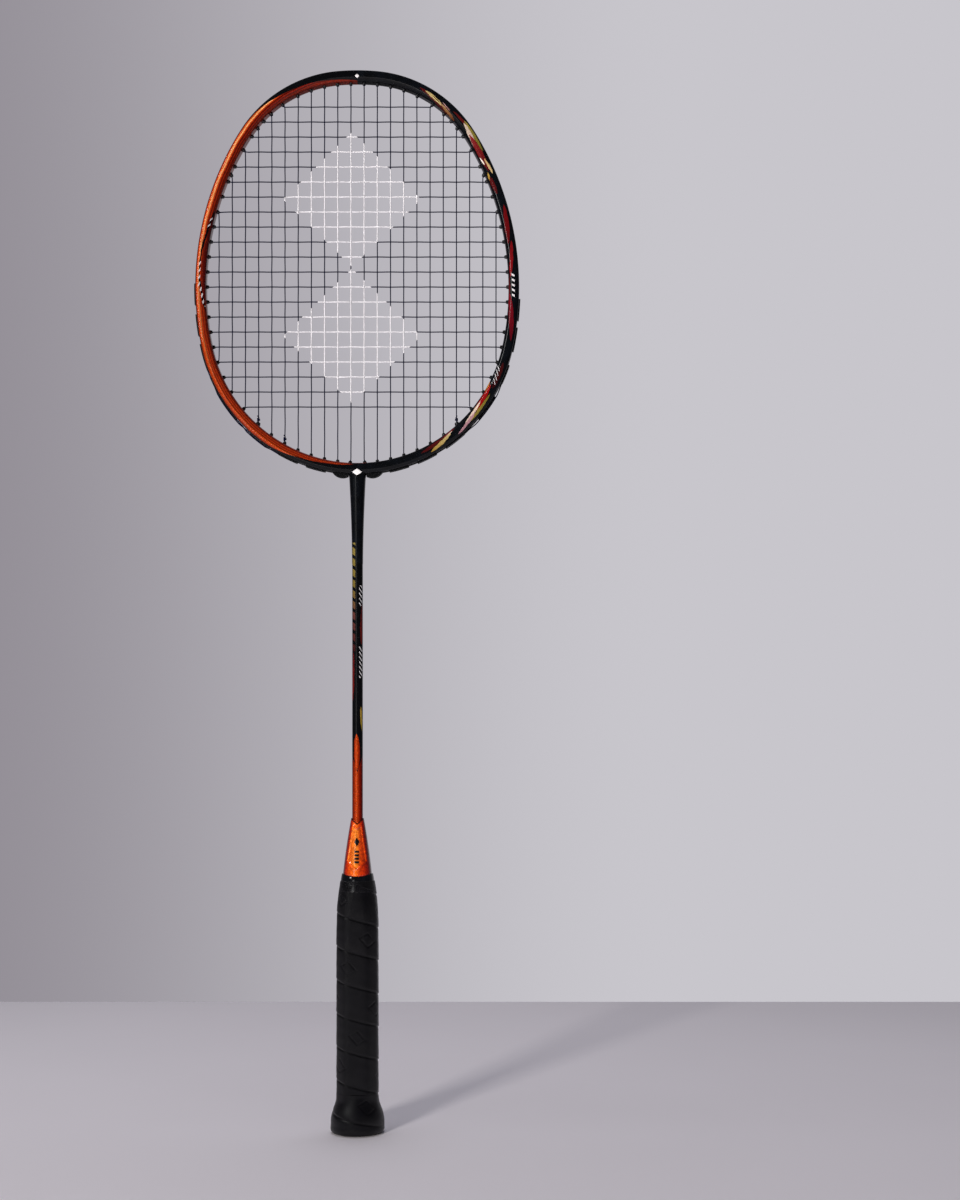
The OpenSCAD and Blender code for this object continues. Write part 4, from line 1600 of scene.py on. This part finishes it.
    def cross_path(self) -> np.ndarray:
        """The crosses' whole path, from the top right to the tie-off at the lower left.

        Returns:
            The path's points.
        """
        y = self.layer
        start = self.ends[0].exit_angle(self.groove_line)
        path = [self.outside(start + self.first_tail, start, self.groove_line, y),
                self.leg(self.ends[0], Side.RIGHT, self.groove_line, y)[::-1]]
        for j in range(self.crosses):
            rightwards = j % 2 == 1
            side = Side.RIGHT if rightwards else Side.LEFT
            path.append(self.cross_run(j, rightwards))
            if j < self.crosses - 1:
                turns = self.right_groove_turns if rightwards else self.left_groove_turns
                line = self.groove_line if j < turns else self.pad_line
                path.append(self.turn((self.ends[j], side), (self.ends[j + 1], side), line, y))
        last, tie = self.ends[self.crosses - 1], self.feet[self.cross_tie]
        first, end = -last.exit_angle(self.pad_line), -tie.exit_angle(self.pad_line)
        lines = np.array([self.pad_line] * 3 + [self.stacked_line] * 5 + [self.pad_line] * 3)
        path += [self.leg(last, Side.LEFT, self.pad_line, y), self.outside(first, end, lines, y),
                 self.leg(tie, Side.LEFT, self.pad_line, y)[::-1]]
        return np.vstack(path)

    def knot(self, i: int, side: Side) -> bpy.types.Object:
        """One tie-off: the tail goes twice round its main and ends in a short stub.

        Args:
            i: The main that it is tied to.
            side: The half that it is in.

        Returns:
            The knot's mesh.
        """
        mouth = self.feet[i].mouth
        turns = np.linspace(0.0, self.knot_turns * 2.0 * np.pi, 46)
        radius = self.diameter + self.knot_slack
        coil = np.stack([radius * np.sin(turns), -self.layer + radius * np.cos(turns),
                         self.knot_lift + self.knot_pitch * turns / (2.0 * np.pi)], axis=1)
        start = np.array([[0.0, self.layer, -0.5], [0.0, self.layer + 0.02, 0.2]])
        tip = coil[-1] + np.linspace(0.3, 2.4, 6)[:, None] * np.array([0.35, -0.75, 0.45])
        path = eased(np.vstack([start, coil, tip]), 1) * [side.value, 1.0, 1.0]
        path += [side.value * self.main_x(i), 0.0, mouth[1]]
        return skin("knot", tube(path, self.diameter / 2 - 0.01, 12))

    def build(self) -> None:
        """Makes both strings and the knots."""
        radius = self.diameter / 2
        mains = skin("main_string", tube(eased(self.main_path(), 2), radius, self.sides))
        place(mains, Slot.STRING, STRING_NYLON, "main_strings", "main_loops")
        crosses = skin("cross_string", tube(eased(self.cross_path(), 2), radius, self.sides))
        place(crosses, Slot.STRING, STRING_NYLON, "cross_strings", "cross_loops")
        ties = ((self.main_tie, Side.LEFT), (self.main_tie, Side.RIGHT), (self.cross_tie, Side.LEFT))
        knots = joined("tie_off_knots", [self.knot(i, side) for i, side in ties])
        place(knots, Slot.STRING, STRING_NYLON, "string_knots")
        for label, path in (("mains", self.main_path()), ("crosses", self.cross_path())):
            length = float(np.linalg.norm(np.diff(eased(path, 2), axis=0), axis=1).sum())
            LOG.info("string of the %s: %.0f mm", label, length)


@dataclass(frozen=True)
class Grommets:
    """The barrels and pads, dressed as they are."""

    barrels: tuple[str, ...] = ("crown_grommets", "shoulder_shared_grommets", "left_side_grommets",
                                "right_side_grommets", "tie_off_grommets")
    pads: tuple[str, ...] = ("left_side_pads", "right_side_pads", "bow_pads", "throat_pads")

    def build(self) -> None:
        """Dresses both kinds."""
        dress(GROMMET_NYLON, *self.barrels)
        dress(PAD_NYLON, *self.pads)


# --- Shaft, cap and collar --------------------------------------------------


@dataclass(frozen=True)
class Shaft:
    """The thin carbon tube between head and handle, dressed as it is."""

    node: str = "shaft"

    def build(self) -> None:
        """Dresses the tube."""
        dress(SHAFT_LACQUER, self.node)


@dataclass(frozen=True)
class ConeCap:
    """The cone between the shaft and the handle, with a notched rim and a sunk panel."""

    foot: float = 164.9
    top: float = 200.0
    foot_r: float = 9.2
    top_r: float = 4.05
    bow: float = 1.4
    wall: float = 0.9
    vee: float = 3.6
    seat_r: float = 32.0
    seat_drop: float = 1.6
    seat_gap: float = 0.04
    panel_depth: float = 0.4
    panel_slope: float = 0.55
    frame_height: float = 0.16
    frame_middle: float = 0.35
    frame_half: float = 0.45
    foot_round: float = 0.22
    bore_r: float = 3.46
    around: int = 160
    rows: int = 96

    def radius(self, z: np.ndarray) -> np.ndarray:
        """Outer radius, slightly bowed."""
        share = (z - self.foot) / (self.top - self.foot)
        return self.foot_r + (self.top_r - self.foot_r) * share + self.bow * share * (1.0 - share)

    def seat(self, x: np.ndarray) -> np.ndarray:
        """Height of the curved seat between the cap and its collar."""
        return self.foot - self.seat_drop + self.seat_r - np.sqrt(self.seat_r**2 - x**2)

    def panel(self, x: np.ndarray, z: np.ndarray) -> np.ndarray:
        """Depth inside the panel's outline. It is negative outside.

        Args:
            x: Places to the right.
            z: Heights.

        Returns:
            The depths.
        """
        corners = ((0.0, 167.5), (6.1, 173.0), (2.6, 195.4), (0.0, 193.0))
        depth = np.full(np.shape(x), 99.0)
        for (x0, z0), (x1, z1) in zip(corners, corners[1:]):
            across = (x1 - x0) * (z - z0) - (z1 - z0) * (np.abs(x) - x0)
            depth = np.minimum(depth, across / math.hypot(x1 - x0, z1 - z0))
        return depth

    def build(self) -> None:
        """Makes the cap's outside and inside as one closed shell."""
        turn = columns(self.around)[None, :]
        share = np.linspace(0.0, 1.0, self.rows)[:, None]
        low = self.seat(self.foot_r * np.sin(turn)) + self.seat_gap
        notch = 1.0 - np.minimum(np.abs(np.sin(turn)) / 0.98, 1.0)
        high = self.top - self.vee * notch * (np.abs(np.cos(turn)) > 0)
        z = low + (high - low) * share
        radius = self.radius(z)
        depth = self.panel(radius * np.sin(turn), z)
        frame = smooth(1.0 - np.abs(depth + self.frame_middle) / self.frame_half)
        radius = radius - self.panel_depth * smooth(depth / self.panel_slope) + self.frame_height * frame
        ease = self.foot_round * (1.0 - np.sqrt(1.0 - (1.0 - np.clip(share * 40.0, 0.0, 1.0)) ** 2))
        radius = np.minimum(radius, self.radius(z) + 0.1) - ease
        inner = np.maximum(radius - self.wall, self.bore_r)
        outer_rows = turned(radius, z)
        rim = turned(np.maximum(radius[-1:] - 0.25, self.bore_r + 0.01), z[-1:] + 0.04)
        inner_rows = turned(np.minimum(inner, radius - 0.3), z)[::-6]
        rings = np.concatenate([outer_rows, rim, inner_rows])
        panel, top = np.zeros(rings.shape[:2]), np.ones(rings.shape[:2])
        panel[: self.rows] = smooth(depth / 0.3)
        top[: self.rows] = smooth((z - high + 0.9) / 0.4)
        cap = skin("cone_cap_lacquered", rings, closed=True, sharp=38, values={"panel": panel, "rim": top})
        place(cap, Slot.CAP, CAP_LACQUER, "cone_cap")


@dataclass(frozen=True)
class CapCollar:
    """The glossy ring under the cap, with a curved top edge."""

    cap: ConeCap
    low: float = 160.05
    low_r: float = 10.72
    high_r: float = 9.95
    bore_r: float = 7.46
    seat_gap: float = 0.02
    around: int = 128

    def build(self) -> None:
        """Makes the ring with softened edges."""
        turn = columns(self.around)[None, :]
        seat = self.cap.seat(self.high_r * np.sin(turn)) - self.seat_gap
        tall = seat - self.low
        # Share of the height, and loss of radius, up the outside
        profile = ((0.0, 0.2), (0.04, 0.05), (0.1, 0.0), (0.5, -0.05), (0.88, 0.0), (0.95, 0.06), (1.0, 0.25))
        rows = [turned(self.low_r + (self.high_r - self.low_r) * share - loss, self.low + tall * share)
                for share, loss in profile]
        inner_seat = self.cap.seat(self.bore_r * np.sin(turn)) - self.seat_gap
        rows.append(turned(np.full_like(seat, self.bore_r), inner_seat))
        rows.append(turned(np.full_like(seat, self.bore_r), np.full_like(seat, self.low)))
        place(skin("cap_collar_ring", np.concatenate(rows), closed=True, sharp=45), Slot.COLLAR,
              COLLAR_ABS, "cap_collar")


# --- Handle -----------------------------------------------------------------


@dataclass(frozen=True)
class Handle:
    """The wrapped grip with its finishing tape, over a wooden core with a plastic butt disc."""

    half_w: float = 13.5
    half_d: float = 12.2
    face: float = 7.3
    side: float = 5.6
    flare_r: float = 17.2
    flare_low: float = 7.5
    flare_top: float = 25.5
    corner: float = 3.0
    hole_r: float = 10.6
    taper_z: float = 142.0
    taper_rate: float = 0.16
    top: float = 160.0
    pitch: float = 21.1
    seam_right: float = 3.9
    seam_depth: float = 0.55
    seam_run: float = 1.0
    tuck_run: float = 1.3
    tape_lean: float = 0.22
    tape_r: float = 12.8
    emboss_depth: float = 0.26
    emboss_line: float = 0.22
    emboss_half: Point = (5.0, 4.4)
    emboss_pitch: float = 31.0
    emboss_first: float = 9.0
    ripple: float = 0.05
    lap: float = 0.12
    wall: float = 1.75
    around: int = 132
    row_step: float = 0.36

    def taper(self, z: np.ndarray | float) -> np.ndarray | float:
        """Radius of the cone that trims the grip's upper end."""
        return self.half_w - self.taper_rate * (z - self.taper_z)

    def octagon(self, turn: np.ndarray) -> np.ndarray:
        """Radius of the eight-sided grip with softened corners.

        Args:
            turn: Angles round the handle in radians.

        Returns:
            The radii.
        """
        slope = np.array([self.half_d - self.side, self.half_w - self.face])
        slope /= np.linalg.norm(slope)
        bevel = float(slope @ (self.half_w, self.side))
        lean = math.atan2(slope[0], slope[1])
        total = np.zeros_like(turn)
        sides = [(k * math.pi / 2, self.half_w if k % 2 else self.half_d) for k in range(4)]
        sides += [(sign * lean + back * math.pi, bevel) for sign in (-1, 1) for back in (0, 1)]
        for way, reach in sides:
            total += np.maximum(np.cos(turn - way), 0.0) ** 16 / reach**16
        return total ** (-1.0 / 16)

    def form(self, turn: np.ndarray, z: np.ndarray) -> np.ndarray:
        """Radius of the grip's outside, without its wraps.

        Args:
            turn: Angles round the handle in radians.
            z: Heights.

        Returns:
            The radii.
        """
        grip = (self.octagon(turn) ** -16.0 + (self.taper(z) + 0.6) ** -16.0) ** (-1.0 / 16)
        share = np.clip((z - self.flare_low) / (self.flare_top - self.flare_low), 0.0, 1.0)
        narrow = self.half_w - 0.5
        flare = (self.flare_r + narrow) / 2 + (self.flare_r - narrow) / 2 * np.cos(np.pi * share)
        flare = np.where(z > self.flare_top, 0.5 * flare, flare)
        return (grip**36 + np.minimum(flare, self.flare_r) ** 36) ** (1.0 / 36)

    def wrap(self, turn: np.ndarray, z: np.ndarray) -> tuple[np.ndarray, np.ndarray]:
        """Height above the nearest seam below, and which turn of the tape it is.

        Args:
            turn: Angle round the handle in radians, 0 at the front and growing to the right.
            z: Height.

        Returns:
            The height above the seam, and the place along the tape in turns.
        """
        # From -pi to pi, so that the jump of one turn is at the back, where it falls on a seam line
        angle = (turn + np.pi) % (2.0 * np.pi) - np.pi
        rise = z - self.seam_right + self.pitch * (angle - np.pi / 2) / (2.0 * np.pi)
        over = np.mod(rise, self.pitch)
        return over, np.floor(rise / self.pitch) + angle / (2.0 * np.pi)

    def relief(self, turn: np.ndarray, z: np.ndarray) -> np.ndarray:
        """How far the tape's skin lies below the grip's form.

        Args:
            turn: Angle round the handle in radians.
            z: Height.

        Returns:
            The depth in millimetres.
        """
        over, along = self.wrap(turn, z)
        edge = 1.0 - smooth(over / self.seam_run)
        tuck = smooth((over - self.pitch + self.tuck_run) / self.tuck_run)
        depth = self.seam_depth * np.maximum(edge, tuck) + self.tape_lean * over / self.pitch * (1.0 - tuck)
        # Embossed outlines of plain lozenges along the middle of the tape
        length = 2.0 * np.pi * self.tape_r
        across = over - self.pitch / 2
        down = np.mod(along * length + self.emboss_first, self.emboss_pitch) - self.emboss_pitch / 2
        ring = np.abs(np.abs(down) / self.emboss_half[0] + np.abs(across) / self.emboss_half[1] - 1.0)
        emboss = 1.0 - smooth(ring / self.emboss_line)
        # The faces ripple a little where the tape is pulled tight
        ripple = self.ripple * np.sin(3.0 * turn + z * 0.23) * np.sin(z * 0.61 + 1.7)
        return np.clip(depth + self.emboss_depth * emboss + ripple + self.ripple, 0.0, 1.0)

    def build_grip(self) -> None:
        """Makes the tape's skin, its turn under the butt and its inside, as one closed shell."""
        turn = columns(self.around)[None, :]
        count = round((self.top - self.corner) / self.row_step)
        z = np.linspace(self.corner, self.top, count)[:, None] + 0.0 * turn
        depth = self.relief(turn, z)
        depth *= smooth((z - self.corner) / 3.0)
        outside = turned(self.form(turn, z) - depth, z)
        foot_r = self.flare_r - self.corner
        rows, proud = [], []
        for r in np.linspace(self.hole_r, foot_r, 6)[:-1]:
            rows.append(turned(np.full_like(turn, r), np.zeros_like(turn)))
        for angle in np.radians(np.linspace(0.0, 90.0, 12))[:-1]:
            lift = self.corner * (1.0 - math.cos(angle))
            rows.append(turned(np.full_like(turn, foot_r + self.corner * math.sin(angle)), lift + 0.0 * turn))
        below = np.concatenate(rows)
        inside_z = np.linspace(self.top, self.wall, 30)[:, None] + 0.0 * turn
        inside = turned(self.form(turn, np.maximum(inside_z, self.corner)) - self.wall, inside_z)
        hole = turned(np.full_like(turn, self.hole_r), self.wall + 0.0 * turn)
        rings = np.concatenate([below, outside, inside, hole])
        proud = np.full(rings.shape[:2], 0.75)
        # How proud the skin is, which the finish turns into painted shade in the seams
        proud[len(below) : len(below) + count] = 1.0 - np.clip(depth / self.seam_depth, 0.0, 1.0)
        grip = skin("grip_wrap", rings, closed=True, values={"proud": proud})
        place(grip, Slot.GRIP, GRIP_PU, "grip_tape")

    def build_finishing(self) -> None:
        """Makes the vinyl tape over the grip's upper end, with its cut end lapped at the back."""
        low, high = box_mm("finishing_tape")[0].z, self.top - 0.03
        turn = columns(self.around)[None, :]
        lap = self.lap * smooth((turn - 2.6) / 0.06) * (1.0 - smooth((turn - 3.9) / 0.4))
        rows = []
        for share, loss in ((0.0, 0.1), (0.0, 0.03), (0.02, 0.0), (0.5, -0.02), (0.97, 0.0), (1.0, 0.05)):
            z = low + (high - low) * share
            rows.append(turned(self.taper(z) + 0.27 - loss + lap, z + 0.0 * turn))
        for z in (high, low):
            rows.append(turned(self.taper(z) + 0.06 + 0.0 * turn, z + 0.0 * turn))
        place(skin("finishing_tape_band", np.concatenate(rows), closed=True, sharp=40), Slot.VINYL,
              FINISHING_VINYL, "finishing_tape")

    def build_butt(self) -> None:
        """Makes the disc in the butt, with raised rings and a dished middle."""
        low, high = box_mm("butt_disc")[0].z, box_mm("butt_disc")[1].z
        # Radius, and height of the lower face above the disc's lowest point
        profile = ((0.0, 0.16), (2.6, 0.16), (2.8, 0.0), (3.4, 0.0), (3.6, 0.14), (7.6, 0.14), (7.8, 0.02),
                   (8.6, 0.02), (8.8, 0.14), (10.1, 0.14), (10.4, 0.24))
        turn = columns(96)[None, :]
        rows = [turned(max(r, 0.02) + 0.0 * turn, low + up + 0.0 * turn) for r, up in profile]
        rows += [turned(r + 0.0 * turn, high + 0.0 * turn) for r in (10.4, 0.02)]
        place(skin("butt_disc_moulded", np.concatenate(rows), sharp=35), Slot.BUTT, BUTT_PLASTIC, "butt_disc")

    def build(self) -> None:
        """Makes the handle's pieces, from the outside in."""
        self.build_grip()
        self.build_finishing()
        self.build_butt()
        dress(HANDLE_BEECH, "handle_core")
        dress(TACK_STEEL, "grip_tack")


# --- Studio -----------------------------------------------------------------


@dataclass(frozen=True)
class Studio:
    """A plain pale floor, soft lights and the camera, in metres. Lens and sensor are in millimetres."""

    floor_back: float = 0.566
    floor_half: float = 2.2
    floor_front: float = 2.6
    floor_gap: float = 0.0001
    distance: float = 1.0618
    camera_x: float = 0.078
    camera_z: float = 0.2385
    lens: float = 50.0
    sensor: float = 36.0
    shift: float = 0.1313
    nearest: float = 0.01

    def build_floor(self) -> None:
        """Lays the floor just under the racket."""
        mesh = bpy.data.meshes.new("floor")
        left, right = -self.floor_half, self.floor_half
        near, far = -self.floor_front, self.floor_back
        corners = [(left, near, 0.0), (right, near, 0.0), (right, far, 0.0), (left, far, 0.0)]
        mesh.from_pydata(corners, [], [(0, 1, 2, 3)])
        floor = bpy.data.objects.new("floor", mesh)
        floor.location.z = -self.floor_gap
        bpy.context.scene.collection.objects.link(floor)
        mesh.materials.append(STUDIO_PAINT.material())

    def light(self, name: str, spot: Spot, aim: Spot, size: Point, power: float, shade: str,
              mirrored: bool) -> None:
        """Hangs a soft box.

        Args:
            name: Its name.
            spot: Where it hangs.
            aim: What it points at.
            size: Its width and height.
            power: Its power in watts.
            shade: Its colour.
            mirrored: True makes it a reflection on glossy surfaces only, False keeps it out of them.
        """
        data = bpy.data.lights.new(name, "AREA")
        data.shape = "RECTANGLE"
        data.size, data.size_y = size
        data.energy = power
        data.color = linear(shade)[:3]
        lamp = bpy.data.objects.new(name, data)
        lamp.visible_glossy = mirrored
        lamp.visible_diffuse = not mirrored
        lamp.location = spot
        lamp.rotation_mode = "QUATERNION"
        lamp.rotation_quaternion = (Vector(aim) - Vector(spot)).to_track_quat("-Z", "Y")
        bpy.context.scene.collection.objects.link(lamp)

    def build_lights(self) -> None:
        """Lights the racket from the front left, before a pale backdrop that brightens to the right."""
        middle = (0.0, 0.0, 0.35)
        self.light("key_light", (-1.3, -2.75, 0.62), middle, (0.45, 0.45), 96.0, "FFF8F2", False)
        self.light("low_soft_box", (-1.12, -2.4, 0.5), middle, (0.5, 0.8), 2.2, "FFFFFF", True)
        self.light("top_light", (-0.1, 0.15, 1.6), (0.0, 0.1, 0.0), (0.9, 0.9), 9.0, "FBF8FF", False)
        self.light("tall_soft_box", (-0.78, -0.72, 0.98), (-0.06, 0.0, 0.6), (0.12, 0.7), 4.8, "FFFFFF", True)
        world = bpy.data.worlds.new("pale_studio")
        world.use_nodes = True
        tree = world.node_tree
        way = add(tree, "TexCoord", {}, "Generated")
        parts = add(tree, "SeparateXYZ", {0: way}).node.outputs
        right = add(tree, "MapRange", {0: parts[0], 1: -0.34, 2: 0.12}, interpolation_type="SMOOTHSTEP")
        backdrop = add(tree, "Mix", {0: right, 6: "918C94", 7: "C8C6CC"}, 2, data_type="RGBA")
        # The room in front of the racket is dim, so that black lacquer stays black
        level = add(tree, "ValToRGB", {0: add(tree, "MapRange", {0: parts[1], 1: -1.0, 2: 1.0})},
                    stops=((0.0, "464549"), (0.5, "4A494E"), (0.74, "77757A"), (0.92, "FFFFFF")))
        # Below the level of the floor's far edge the room is darker still
        under = add(tree, "MapRange", {0: parts[2], 1: -0.26, 2: -0.16, 3: 0.12, 4: 1.0})
        shade = add(tree, "Mix", {0: 1.0, 6: backdrop, 7: level}, 2, data_type="RGBA", blend_type="MULTIPLY")
        shade = add(tree, "VectorMath", {0: shade, 3: under}, operation="SCALE")
        tree.links.new(shade, tree.nodes["Background"].inputs[0])
        bpy.context.scene.world = world

    def build_camera(self) -> None:
        """Sets up a level camera, a little to the right of the racket."""
        data = bpy.data.cameras.new("camera")
        data.lens = self.lens
        data.sensor_width = self.sensor
        data.shift_y = self.shift
        data.clip_start = self.nearest
        camera = bpy.data.objects.new("camera", data)
        camera.location = (self.camera_x, -self.distance, self.camera_z)
        camera.rotation_euler = (math.pi / 2, 0.0, 0.0)
        bpy.context.scene.collection.objects.link(camera)
        bpy.context.scene.camera = camera

    def build(self) -> None:
        """Makes the studio."""
        self.build_camera()
        self.build_floor()
        self.build_lights()
        bpy.context.scene.view_settings.view_transform = "Standard"


def main() -> None:
    logging.basicConfig(level=logging.INFO, format="%(name)s: %(message)s")
    Studio().build()
    outline = Outline()
    HeadFrame(outline).build()
    Throat(outline).build()
    Stringing(outline).build()
    Grommets().build()
    Shaft().build()
    cap = ConeCap()
    cap.build()
    CapCollar(cap).build()
    Handle().build()


if __name__ == "__main__":
    main()
